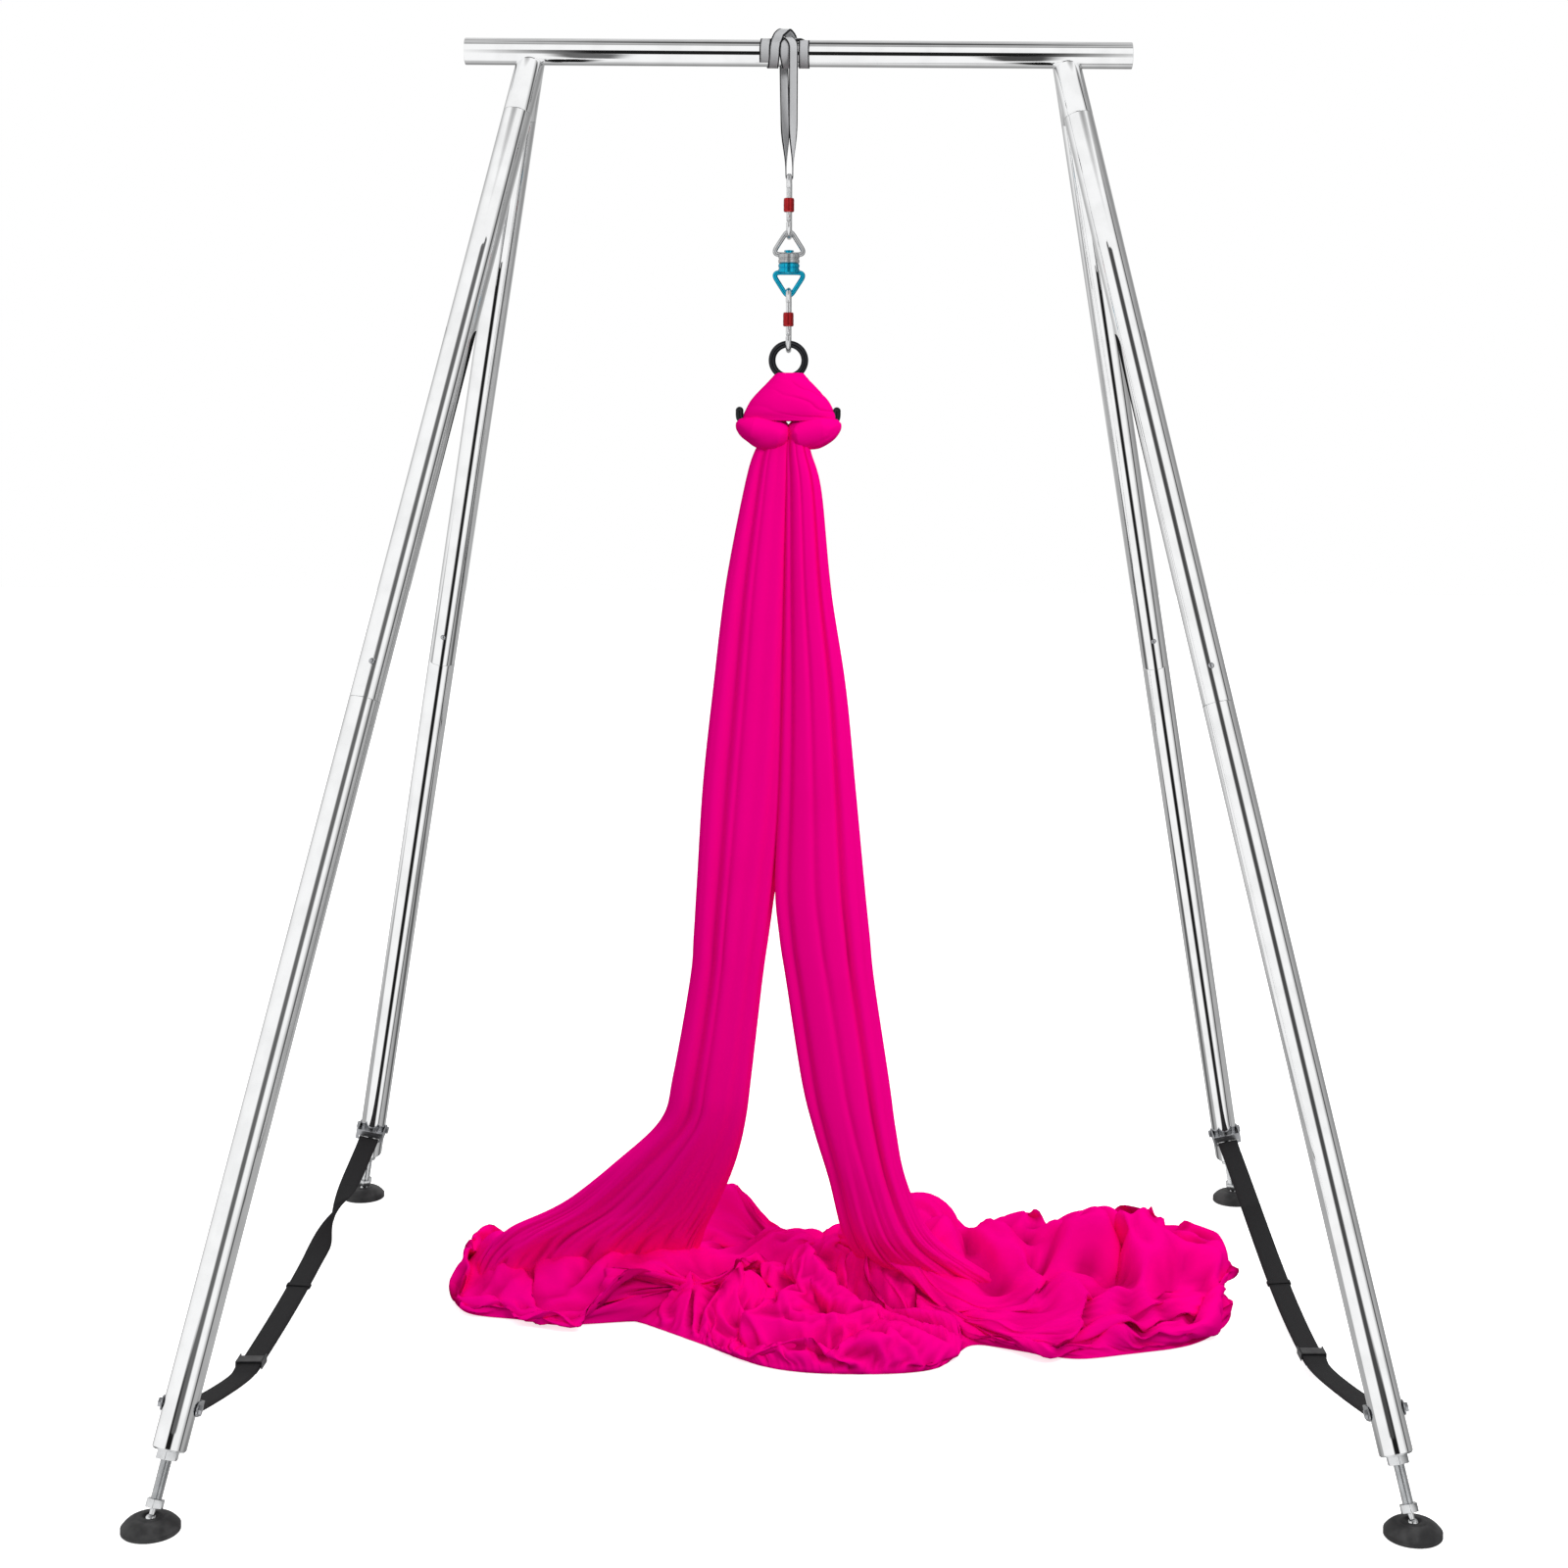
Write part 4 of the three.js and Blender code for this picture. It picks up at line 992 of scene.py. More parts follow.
    def tubes(self, leg: LegLine) -> None:
        """The upper and lower tube of a leg.

        Args:
            leg: The leg.
        """
        top = leg.length - self.socket - FIT
        upper = self.pipe(self.seam + FIT, top, self.tube_radius, self.tube_bore)
        hole = self.button_tool(leg, self.button_radius + self.button_room)
        upper = moved(carved(upper, hole), leg.matrix)
        piece(upper, f"upper_tube_{leg.name}", CHROME, "stand", [f"upper_leg_{leg.name}"])
        lower = self.pipe(self.tube_end, self.seam, self.tube_radius, self.tube_bore)
        low, high = self.seam - self.spigot_half, self.seam + self.spigot_half
        spigot = self.pipe(low, high, self.tube_bore - FIT, self.spigot_bore)
        spigot = carved(spigot, self.button_tool(leg, self.button_radius + FIT))
        both = moved(merged(lower, spigot), leg.matrix)
        piece(both, f"lower_tube_{leg.name}", CHROME, "stand", [f"lower_leg_{leg.name}"])

    def button_place(self, leg: LegLine) -> Matrix:
        """The snap button's frame, with Z out of the leg towards the front."""
        turn = Matrix.Rotation(-leg.end.value * math.pi / 2, 4, "X")
        return Matrix.Translation((0, 0, self.seam + self.button_rise)) @ turn

    def button_tool(self, leg: LegLine, radius: float) -> bmesh.types.BMesh:
        """A round tool for the snap button's hole."""
        reach = self.tube_radius * 1.5
        tool = turned([(0, 0), (radius, 0), (radius, reach), (0, reach)], 32)
        return moved(tool, self.button_place(leg))

    def button(self, leg: LegLine) -> None:
        """The domed snap button that locks a leg's two tubes.

        Args:
            leg: The leg.
        """
        face, radius, dome = self.button_face, self.button_radius, self.button_dome
        top = self.tube_radius + self.button_proud
        back = face - self.flange_thickness
        outline = [(0, back), (self.button_flange, back), (self.button_flange, face), (radius, face)]
        outline += [(radius, top - dome)]
        outline += [(radius * math.cos(a), top - dome + dome * math.sin(a)) for a in (0.4, 0.8, 1.2)]
        outline += [(0, top)]
        place = leg.matrix @ self.button_place(leg)
        button = moved(turned(outline, 40), place)
        piece(button, f"button_{leg.name}", ZINC, f"button_{leg.name}", [f"snap_button_{leg.name}"])


@dataclass
class Feet:
    """The levelling feet: end nuts, threaded studs with balls, and domed rubber pads."""

    nut_corner: float = 22 * MM
    nut_height: float = 20 * MM
    plug_radius: float = 29.7 * MM
    stud_radius: float = 11 * MM
    thread: float = 2.5 * MM
    thread_deep: float = 1.3 * MM
    thread_turns: int = 50
    ball_radius: float = 12 * MM
    neck_radius: float = 6 * MM
    collar_low: float = 22 * MM
    collar_height: float = 16 * MM
    collar_corner: float = 18 * MM
    pad_radius: float = 55 * MM
    pad_top: float = 30 * MM
    neck_out: float = 27 * MM
    dome_steps: int = 10
    # the dome's height at the neck, its fall to the rim and the power of its curve
    dome: tuple[float, float, float] = (28.6, 17, 2.2)
    tube_end: float = TUBE_END

    def build(self) -> None:
        """Builds the four feet."""
        for leg in LEGS:
            piece(self.nut(leg), f"end_nut_{leg.name}", BRIGHT_ZINC, "stand", [f"leg_end_nut_{leg.name}"])
            body = f"foot_{leg.name}"
            piece(self.stud(leg), f"stud_{leg.name}", BRIGHT_ZINC, body, [f"foot_stud_{leg.name}"])
            piece(self.pad(leg), f"pad_{leg.name}", RUBBER, f"pad_{leg.name}", [f"foot_pad_{leg.name}"], 50)

    def hexagon(self, corner: float, low: float, high: float) -> bmesh.types.BMesh:
        """A hexagon with its corners chamfered.

        Args:
            corner: Half the distance across its corners.
            low: Its lower face.
            high: Its upper face.

        Returns:
            The hexagon.
        """
        mesh = bmesh.new()
        bmesh.ops.create_circle(mesh, cap_ends=True, radius=corner, segments=6)
        grown = bmesh.ops.extrude_face_region(mesh, geom=mesh.faces[:])
        top = [v for v in grown["geom"] if isinstance(v, bmesh.types.BMVert)]
        bmesh.ops.translate(mesh, vec=(0, 0, high - low), verts=top)
        bmesh.ops.translate(mesh, vec=(0, 0, low), verts=mesh.verts)
        bmesh.ops.recalc_face_normals(mesh, faces=mesh.faces)
        return rounded(mesh, 1.1 * MM, 2)

    def nut(self, leg: LegLine) -> bmesh.types.BMesh:
        """The plug and hexagon in the end of a leg's lower tube."""
        end = self.tube_end
        bore = self.stud_radius + FIT
        hexagon = self.hexagon(self.nut_corner, end - self.nut_height, end - FIT)
        tool = turned([(0, 0), (bore, 0), (bore, end * 2), (0, end * 2)], 40)
        low, high, radius = end - 3 * MM, end + 15 * MM, self.plug_radius
        lip = (radius + 2 * MM, end - FIT)
        flange = ring([(bore, low), (radius, low), lip, (radius, high), (bore, high)])
        return moved(merged(carved(hexagon, tool), flange), leg.matrix)

    def stud(self, leg: LegLine) -> bmesh.types.BMesh:
        """The threaded stud with its hexagon collar and ball."""
        neck = math.degrees(math.asin(self.neck_radius / self.ball_radius))
        outline = arc((0, 0), self.ball_radius, -90, 90 - neck, 16)
        low = self.collar_low
        start = low + self.collar_height
        shoulder, root = self.stud_radius - 1 * MM, self.stud_radius - self.thread_deep
        outline += [(self.neck_radius, low), (shoulder, low), (shoulder, start)]
        for i in range(self.thread_turns):
            base = start + i * self.thread
            outline += [(root, base), (self.stud_radius, base + self.thread * 0.5)]
        outline += [(0, start + self.thread_turns * self.thread)]
        collar = self.hexagon(self.collar_corner, low, start)
        return moved(merged(turned(outline, 40), collar), leg.matrix)

    def pad(self, leg: LegLine) -> bmesh.types.BMesh:
        """The domed pad, with its socket and a ribbed skirt."""
        seat = self.ball_radius + 2 * FIT
        radius = self.pad_radius
        base = -leg.ball_up
        outline = arc((0, 0), seat, -90, 28, 14)
        top = base + self.pad_top
        outline += [(14.6 * MM, top - 1 * MM), (15.6 * MM, top), (23 * MM, top)]
        high, fall, power = self.dome
        outline += [(25 * MM, base + high * MM), (self.neck_out, base + high * MM)]
        for i in range(1, self.dome_steps + 1):
            share = i / self.dome_steps
            out = self.neck_out + (radius - self.neck_out) * share
            outline.append((out, base + (high - fall * share**power) * MM))
        outline += [(radius, base + 9 * MM), (radius - 0.8 * MM, base + 7.5 * MM), (radius, base + 6 * MM)]
        outline += [(radius, base + 2 * MM), (radius - 2 * MM, base), (0, base)]
        return moved(turned(outline, 80), Matrix.Translation(leg.foot))


# The side straps


@dataclass
class SideStrap:
    """The webbing along the foot of one side, with its brackets and cam buckle."""

    frame: dict
    side: Side
    buckle_at: float
    buckle_up: float
    twist: float
    twist_share: float
    twist_span: float
    width: float = 50 * MM
    thickness: float = 2 * MM
    overlap: float = 42 * MM
    bridge_out: float = 40 * MM
    bridge_half: float = 1.5 * MM
    bar_half_up: float = 2.5 * MM
    eye_up: float = 192.5 * MM
    buckle_length: float = 46 * MM
    buckle_bar: float = 3 * MM
    buckle_wall: float = 2.5 * MM
    short_pull: float = 0.12
    keeper_share: float = 0.6
    keeper_width: float = 16 * MM
    keeper_inset: float = 1 * MM
    keeper_rise: float = 3.4 * MM

    def build(self) -> None:
        """Builds the brackets, the bolts, the webbing and the buckle."""
        name = self.side.label
        for leg in legs_of(self.side):
            softened(self.frame, f"strap_bracket_{leg.name}", 0.9 * MM, "stand", ZINC)
            softened(self.frame, f"bracket_bolt_{leg.name}", 1.1 * MM, "stand", ZINC)
        softened(self.frame, f"strap_buckle_{name}", 0.8 * MM, "stand", DARK_ZINC)
        softened(self.frame, f"buckle_lever_{name}", 1.2 * MM, f"lever_{name}", PLASTIC)
        self.webbing()

    def eye(self, middle: Vector, half_across: float, half_up: float, offset: float) -> list[Vector]:
        """The fold of webbing round a bar, from its free end to where both plies lie together.

        Args:
            middle: The bar's middle.
            half_across: Half the bar's size along the strap, or zero for a round bar.
            half_up: Half the bar's height, or zero for a round bar.
            offset: The distance from the bar's corners to the middle of the webbing.

        Returns:
            The points of the fold.
        """
        ply = self.thickness + FIT
        reach = half_up + offset

        def at(y: float, z: float) -> Vector:
            """A point of the fold."""
            return middle + Vector((0, y, z))

        points = [at(self.overlap, -ply), at(self.overlap / 2, -(reach + ply) / 2)]
        if half_across:
            points.append(at(half_across, -reach))
        steps = 8
        for way, start in ((-1, -90), (1, 0)):
            for i in range(steps + 1):
                angle = math.radians(start + 90 * i / steps)
                if half_up or way < 0 or i:
                    points.append(
                        at(-half_across - offset * math.cos(angle), way * half_up + offset * math.sin(angle))
                    )
        if half_across:
            points.append(at(half_across, reach))
        return [*points, at(self.overlap / 2, reach / 2), at(self.overlap, 0)]

    def curve(
        self, start: Vector, end: Vector, way_out: Vector, way_in: Vector, pull: float = 0.33
    ) -> list[Vector]:
        """Webbing that sags between two ends.

        Args:
            start: Where it starts.
            end: Where it ends.
            way_out: The direction in which it leaves.
            way_in: The direction in which it arrives.
            pull: How far from its ends it keeps those directions, as a share of its length.

        Returns:
            The points of the curve.
        """
        span = (end - start).length
        near = start + way_out * span * pull
        far = end - way_in * span * pull
        steps = 72
        points = []
        for i in range(steps + 1):
            t = i / steps
            a, b, c = start.lerp(near, t), near.lerp(far, t), far.lerp(end, t)
            points.append(a.lerp(b, t).lerp(b.lerp(c, t), t))
        return points

    def webbing(self) -> None:
        """The long and the short piece of webbing."""
        name = self.side.label
        rear, front = LegLine(self.side, End.REAR), LegLine(self.side, End.FRONT)
        offset = FIT + self.thickness / 2
        bridge = Vector((0, self.bridge_out, self.eye_up))
        fold = self.eye(bridge, self.bridge_half, self.bar_half_up, offset)
        rear_eye = [rear.matrix @ p for p in fold]
        front_eye = [front.matrix @ p for p in fold]
        along = Vector((0, -1, 0))
        middle_x = (rear_eye[-1].x + front_eye[-1].x) / 2
        turn = Matrix((Vector((-1, 0, 0)), along, Vector((0, 0, 1)))).transposed().to_4x4()
        place = Matrix.Translation((middle_x, self.buckle_at, self.buckle_up)) @ turn
        bar_at = self.buckle_length / 2 - self.buckle_bar - self.buckle_wall
        bar_up = self.buckle_wall + self.buckle_bar + self.thickness
        base_end = bar_at - self.buckle_bar - 2 * self.thickness
        mid = self.buckle_wall + FIT + self.thickness / 2
        through = [place @ Vector((0, y, mid)) for y in (-self.buckle_length / 2, 0, base_end)]
        rear_way = rear.matrix.col[1].to_3d()
        run = self.curve(rear_eye[-1], through[0], rear_way, along)
        points = [*rear_eye, *run[1:], *through[1:]]
        start_across, end_across = rear.matrix.col[0].to_3d(), Vector((-1, 0, 0))
        ways = []
        low = self.twist_share - self.twist_span / 2
        for share in self.run_shares(len(points), len(rear_eye), len(run)):
            turned_by = smooth(share, low, low + self.twist_span) * self.twist
            way = start_across.lerp(end_across, share).normalized()
            ways.append(Matrix.Rotation(turned_by, 3, along) @ way)
        self.band(points, ways, f"webbing_long_{name}", f"strap_long_{name}")
        at = len(rear_eye) + round(self.keeper_share * len(run))
        self.keeper(points[at], (points[at + 1] - points[at - 1]).normalized(), ways[at])
        buckle_eye = [
            place @ p for p in self.eye(Vector((0, bar_at, bar_up)), 0, 0, self.buckle_bar + offset)
        ]
        front_way = -front.matrix.col[1].to_3d()
        run = self.curve(buckle_eye[-1], front_eye[-1], along, front_way, self.short_pull)
        points = [*buckle_eye, *run[1:], *reversed(front_eye[:-1])]
        front_across = front.matrix.col[0].to_3d()
        shares = self.run_shares(len(points), len(buckle_eye), len(run))
        ways = [Vector((1, 0, 0)).lerp(front_across, share).normalized() for share in shares]
        self.band(points, ways, f"webbing_short_{name}", f"strap_short_{name}")

    def run_shares(self, total: int, before: int, run: int) -> list[float]:
        """How far along its free run each point of a piece of webbing is.

        Args:
            total: How many points the piece has.
            before: How many of them lie in the fold before the run.
            run: How many points the run has.

        Returns:
            Shares, which are zero before the run and one after it.
        """
        return [min(max((i - before + 1) / (run - 1), 0), 1) for i in range(total)]

    def keeper(self, at: Vector, along: Vector, way: Vector) -> None:
        """The sewn loop that holds the strap's free end.

        Args:
            at: Its middle.
            along: The direction of the strap there.
            way: Which way the strap's width runs there.
        """
        way = (way - along * way.dot(along)).normalized()
        up = way.cross(along)
        half, rise = self.width / 2 - self.keeper_inset, self.keeper_rise
        line = []
        for side in (1, -1):
            for i in range(9):
                angle = math.pi * (i / 8 - 0.5)
                line.append(at + side * (way * (half + rise * math.cos(angle)) + up * rise * math.sin(angle)))
        mesh = ribbon(line, [along] * len(line), self.keeper_width, closed=True, columns=4)
        piece(mesh, f"webbing_keeper_{self.side.label}", BLACK_WEB, "stand", (), 80, self.thickness)

    def band(self, points: list[Vector], ways: list[Vector], name: str, node: str) -> None:
        """One piece of webbing.

        Args:
            points: Its middle line.
            ways: Which way its width runs at each point.
            name: The piece's name.
            node: The solid that it stands for.
        """
        mesh = ribbon(points, ways, self.width, columns=4)
        piece(mesh, name, BLACK_WEB, "stand", [node], 80, self.thickness)


# The rigging

HANG_X = -20 * MM


@dataclass
class Sling:
    """Webbing wound round the bar, and the loop of strands that holds the rigging."""

    width: float = 20 * MM
    winding_width: float = 24 * MM
    winding_thickness: float = 3.2 * MM
    thickness: float = 2.2 * MM
    bar_radius: float = BAR_RADIUS
    bar_up: float = BAR_UP
    rod_middle: float = 2644 * MM
    rod_radius: float = 6 * MM
    strand_back: float = -34.7 * MM
    strand_front: float = -11.5 * MM
    strand_turn: tuple[float, float] = (0.05, 0.55)
    strand_cross: tuple[float, float] = (0.35, 0.9)
    # turns from under the bar by the front, millimetres along the bar, millimetres off it
    stations: tuple[tuple[float, float, float], ...] = (
        (0.12, -76, 0), (0.25, -76, 0), (0.5, -73, 0.1), (0.75, -67, 0.3), (1, -58, 0.1), (1.25, -54, 0),
        (1.36, -52, 0), (1.42, -45, 12), (1.5, -30, 22), (1.58, -17, 12), (1.64, -9.5, 0.6),
        (1.75, -13, 0.2), (2, -25, 0), (2.25, -31, 0), (2.32, -30, 0.3), (2.5, -9, 0.9), (2.63, 8, 0.6),
        (2.75, 12.5, 0), (3, 12, 0), (3.25, 11.4, 0), (3.4, 12, 0),
    )

    @property
    def winding_radius(self) -> float:
        """The radius of the winding's middle."""
        return self.bar_radius + FIT + self.thickness / 2

    def build(self) -> None:
        """Builds the winding and the strands."""
        self.winding()
        self.strands()

    def winding(self) -> None:
        """The turns round the bar, with the arch over the strands."""
        first, last = self.stations[0][0], self.stations[-1][0]
        steps = round((last - first) * 64)
        points = []
        for i in range(steps + 1):
            turn = first + (last - first) * i / steps
            k = next((k for k, s in enumerate(self.stations) if s[0] >= turn - 1e-9 and k), 1)
            before, after = self.stations[k - 1], self.stations[k]
            share = smooth(turn, before[0], after[0])
            x = (before[1] + (after[1] - before[1]) * share) * MM
            radius = self.winding_radius + (before[2] + (after[2] - before[2]) * share) * MM
            angle = FULL_TURN * turn
            points.append(Vector((x, -radius * math.sin(angle), self.bar_up - radius * math.cos(angle))))
        mesh = ribbon(points, [Vector((1, 0, 0))] * len(points), self.winding_width, columns=4)
        piece(mesh, "winding_webbing", GREY_WIND, "stand", ["sling_winding"], 80, self.winding_thickness)

    def strands(self) -> None:
        """The closed loop over the bar and under the bow of the top carabiner."""
        radius = self.winding_radius + self.thickness + 6 * FIT
        bow = self.rod_radius + 1.5 * FIT + self.thickness / 2
        drop = self.bar_up - self.rod_middle
        leaving = math.asin(radius / drop)
        points: list[Vector] = []
        ways: list[Vector] = []

        def add(point: Vector, turn: float) -> None:
            """Adds a point, with its width turned from Y towards X."""
            points.append(point)
            angle = turn * math.pi / 2
            ways.append(Vector((math.sin(angle), math.cos(angle), 0)))

        for i in range(17):
            angle = -math.pi * i / 16
            add(Vector((HANG_X + bow * math.cos(angle), 0, self.rod_middle + bow * math.sin(angle))), 0)
        leave_y, leave_z = radius * math.cos(leaving), self.bar_up - radius * math.sin(leaving)
        back = Vector((self.strand_back, leave_y, leave_z))
        front = Vector((self.strand_front, -back.y, back.z))
        low_back = Vector((HANG_X - bow, 0, self.rod_middle))
        low_front = Vector((HANG_X + bow, 0, self.rod_middle))
        rise = 40
        for i in range(1, rise):
            add(low_back.lerp(back, i / rise), smooth(i / rise, *self.strand_turn))
        over = 48
        for i in range(over + 1):
            share = i / over
            angle = -leaving + (math.pi + 2 * leaving) * share
            x = self.strand_back + (self.strand_front - self.strand_back) * smooth(share, *self.strand_cross)
            add(Vector((x, radius * math.cos(angle), self.bar_up + radius * math.sin(angle))), 1)
        for i in range(1, rise):
            share = 1 - i / rise
            add(low_front.lerp(front, share), smooth(share, *self.strand_turn))
        mesh = ribbon(points, ways, self.width, closed=True, columns=4)
        piece(mesh, "strand_webbing", GREY_WEB, "sling", ["sling_strands"], 80, self.thickness)


@dataclass
class Carabiner:
    """A bent rod in the YZ plane, with a gate at the front and a ribbed sleeve on the gate."""

    node: str
    top: float
    body: str
    gate_body: str
    sleeve_body: str
    radius: float = 6 * MM
    length: float = 147 * MM
    width: float = 84 * MM
    bend: float = 26 * MM
    gate_radius: float = 5.5 * MM
    gate_gap: float = 0.7 * MM
    tongue: float = 2.2 * MM
    pin: float = 2 * MM
    sleeve_radius: float = 12 * MM
    sleeve_half: float = 15.5 * MM
    sleeve_ribs: int = 9
    rib_deep: float = 0.7 * MM

    def build(self) -> None:
        """Builds the rod, the gate and the sleeve."""
        half_along = self.length / 2 - self.radius
        half_wide = self.width / 2 - self.radius
        nose = half_along - self.bend - self.radius / 2
        hinge = -nose + self.gate_radius + 2 * FIT
        middle = Matrix.Translation((HANG_X, 0, self.top - self.length / 2))
        hinge_place = middle @ Matrix.Translation((0, -half_wide, hinge))
        line = [(-half_wide, nose)]
        corner_y, corner_z = half_wide - self.bend, half_along - self.bend
        for y, z, start in ((-1, 1, 180), (1, 1, 90), (1, -1, 0), (-1, -1, -90)):
            line += arc((y * corner_y, z * corner_z), self.bend, start, start - 90, 14)
        line.append((-half_wide, -nose))
        body = moved(rod([Vector((0, y, z)) for y, z in line], self.radius, 8), middle)
        tongue = block(
            (-self.tongue, FIT - self.gate_radius, -nose - hinge - 3 * MM),
            (self.tongue, self.gate_radius - FIT, self.gate_radius - FIT), 1.4 * MM,
        )
        body = merged(body, moved(tongue, hinge_place))
        piece(body, f"{self.node}_rod", ALLOY, self.body, [self.node], 40)
        self.gate(hinge_place, nose - self.gate_gap - hinge)
        self.sleeve(middle @ Matrix.Translation((0, -half_wide, 0)))

    def gate(self, place: Matrix, top: float) -> None:
        """The gate, with its fork and hinge pin.

        Args:
            place: The frame at the hinge pin.
            top: The height of the gate's nose over the pin.
        """
        r, edge = self.gate_radius, 0.6 * MM
        outline = [(0, -r), (r * 0.6, -r * 0.85), (r, -r * 0.3), (r, top - edge), (r - edge, top), (0, top)]
        slot = block((-self.tongue - FIT, -2 * r, -2 * r), (self.tongue + FIT, 2 * r, 2 * r))
        stem = carved(turned(outline, 40), slot)
        reach = r - FIT
        pin = turned([(0, -reach), (self.pin, -reach), (self.pin, reach), (0, reach)], 24)
        pin = moved(pin, Matrix.Rotation(math.pi / 2, 4, "Y"))
        gate = moved(merged(stem, pin), place)
        piece(gate, f"{self.node}_gate_rod", ALLOY, self.gate_body, [f"{self.node}_gate"])

    def sleeve(self, place: Matrix) -> None:
        """The ribbed sleeve that screws along the gate.

        Args:
            place: The frame at the sleeve's middle.
        """
        inner, outer, half = self.gate_radius + FIT, self.sleeve_radius, self.sleeve_half
        outline = [(inner, -half), (outer - 2 * MM, -half), (outer - 0.4 * MM, -half + 1.4 * MM)]
        ribs, groove = self.sleeve_ribs, outer - self.rib_deep
        span = 2 * half - 6 * MM
        step = span / ribs
        for i in range(ribs):
            low = -half + 3 * MM + span * i / ribs
            outline += [(outer, low), (outer, low + 0.6 * step)]
            outline += [(groove, low + 0.7 * step), (groove, low + 0.9 * step)]
        outline += [(outer - 0.4 * MM, half - 1.4 * MM), (outer - 2 * MM, half), (inner, half)]
        grip = moved(ring(outline, 56), place)
        piece(grip, f"{self.node}_grip", RED, self.sleeve_body, [f"{self.node}_sleeve"])


@dataclass
class Swivel:
    """Two turned halves with flat eyes, held together by a headed axle."""

    upper_bottom: float = 2448.8 * MM
    base_radius: float = 24 * MM
    base: float = 22.5 * MM
    eye_bar: float = 5.5 * MM
    eye_half: float = 38.5 * MM
    eye_wall: float = 9.5 * MM
    eye_floor: float = 4 * MM
    eye_sink: float = 2.5 * MM
    eye_height: float = 40 * MM
    rounding: float = 20 * MM
    axle_radius: float = 8 * MM
    head_radius: float = 11 * MM

    def build(self) -> None:
        """Builds both halves."""
        at = Matrix.Translation((HANG_X, 0, self.upper_bottom))
        piece(moved(self.half(), at), "swivel_top_half", SATIN_ALLOY, "top_hook", ["swivel_upper"])
        down = Matrix.Translation((HANG_X, 0, self.upper_bottom - FIT)) @ Matrix.Rotation(math.pi, 4, "X")
        lower = merged(self.half(), self.axle())
        piece(moved(lower, down), "swivel_bottom_half", BLUE, "hanging_set", ["swivel_lower"])

    def axle(self) -> bmesh.types.BMesh:
        """The axle and its head, in the frame of the lower half, where up is down."""
        top = -(2 * FIT + self.base + self.eye_floor)
        r, head = self.axle_radius, self.head_radius
        outline = [(0, 5 * MM), (r, 5 * MM), (r, top), (head, top), (head, top - 2.2 * MM)]
        outline += [(head - 1.5 * MM, top - 3 * MM), (0, top - 3 * MM)]
        return turned(outline, 48)

    def half(self) -> bmesh.types.BMesh:
        """One half, with its base on z = 0 and its eye up."""
        tip = self.base + self.eye_floor + self.eye_height + self.eye_wall / 2
        line = self.triangle(self.eye_half, self.base - self.eye_sink, tip, self.rounding)
        eye = rod([Vector((p.x, 0, p.y)) for p in line], self.eye_bar, 8, closed=True)
        r, h = self.base_radius, self.base
        outline = [(0, 0), (r - 2 * MM, 0), (r, 2 * MM), (r, h * 0.36), (r - 1.4 * MM, h * 0.4)]
        outline += [(r - 1.4 * MM, h * 0.5), (r, h * 0.54), (r, h - 2.5 * MM), (r - 2.5 * MM, h), (0, h)]
        return merged(turned(outline, 64), eye)

    def triangle(self, half: float, low: float, tip: float, rounding: float) -> list[Vector]:
        """A rounded triangle on a level line.

        Args:
            half: Half its width.
            low: The height of its base.
            tip: The height of its rounded tip.
            rounding: How far the rounding of its corners reaches.

        Returns:
            Its outline.
        """
        top = tip
        for _ in range(6):
            top = tip + rounding * (top - low) / math.hypot(top - low, half) / 2
        return rounded_outline([(-half, low), (half, low), (0, top)], rounding)


@dataclass
class Descender:
    """A black descender: a small ring over a large one, with an upturned ear on each side."""

    small_up: float = 2230.6 * MM
    small_radius: float = 37 * MM
    small_bar: float = 8 * MM
    large_radius: float = 66 * MM
    large_bar: float = 9 * MM
    drop: float = 114 * MM
    ear_bar: float = 9 * MM
    ear_reach: float = 110 * MM

    def build(self) -> None:
        """Builds the rings, the neck and the ears."""
        large_up = self.small_up - self.drop
        neck = [Vector((0, 0, z)) for z in (large_up + self.large_radius, self.small_up - self.small_radius)]
        parts = [
            self.hoop(self.small_radius, self.small_bar, self.small_up),
            self.hoop(self.large_radius, self.large_bar, large_up),
            rod(neck, self.large_bar, 8),
        ]
        for side in Side:
            low = large_up - 3 * self.ear_bar
            ends = [(self.large_radius, large_up), (self.ear_reach - 2 * self.ear_bar, low),
                    (self.ear_reach - 2 * MM, low + self.ear_bar), (self.ear_reach, large_up)]
            points = spline([Vector((side.value * x, 0, z)) for x, z in ends], 24)
            tip = bmesh.new()
            bmesh.ops.create_uvsphere(tip, u_segments=24, v_segments=16, radius=self.ear_bar)
            bmesh.ops.translate(tip, vec=points[-1], verts=tip.verts)
            parts += [rod(points, self.ear_bar, 7), tip]
        mesh = moved(merged(*parts), Matrix.Translation((HANG_X, 0, 0)))
        piece(mesh, "descender_forging", BLACK_ALLOY, "hanging_set", ["descender"], 60)

    def hoop(self, radius: float, bar: float, up: float) -> bmesh.types.BMesh:
        """A ring of round bar in the XZ plane."""
        points = [Vector((x, 0, z)) for x, z in arc((0, up), radius, 0, 360, 72)[:-1]]
        return rod(points, bar, 8, closed=True)


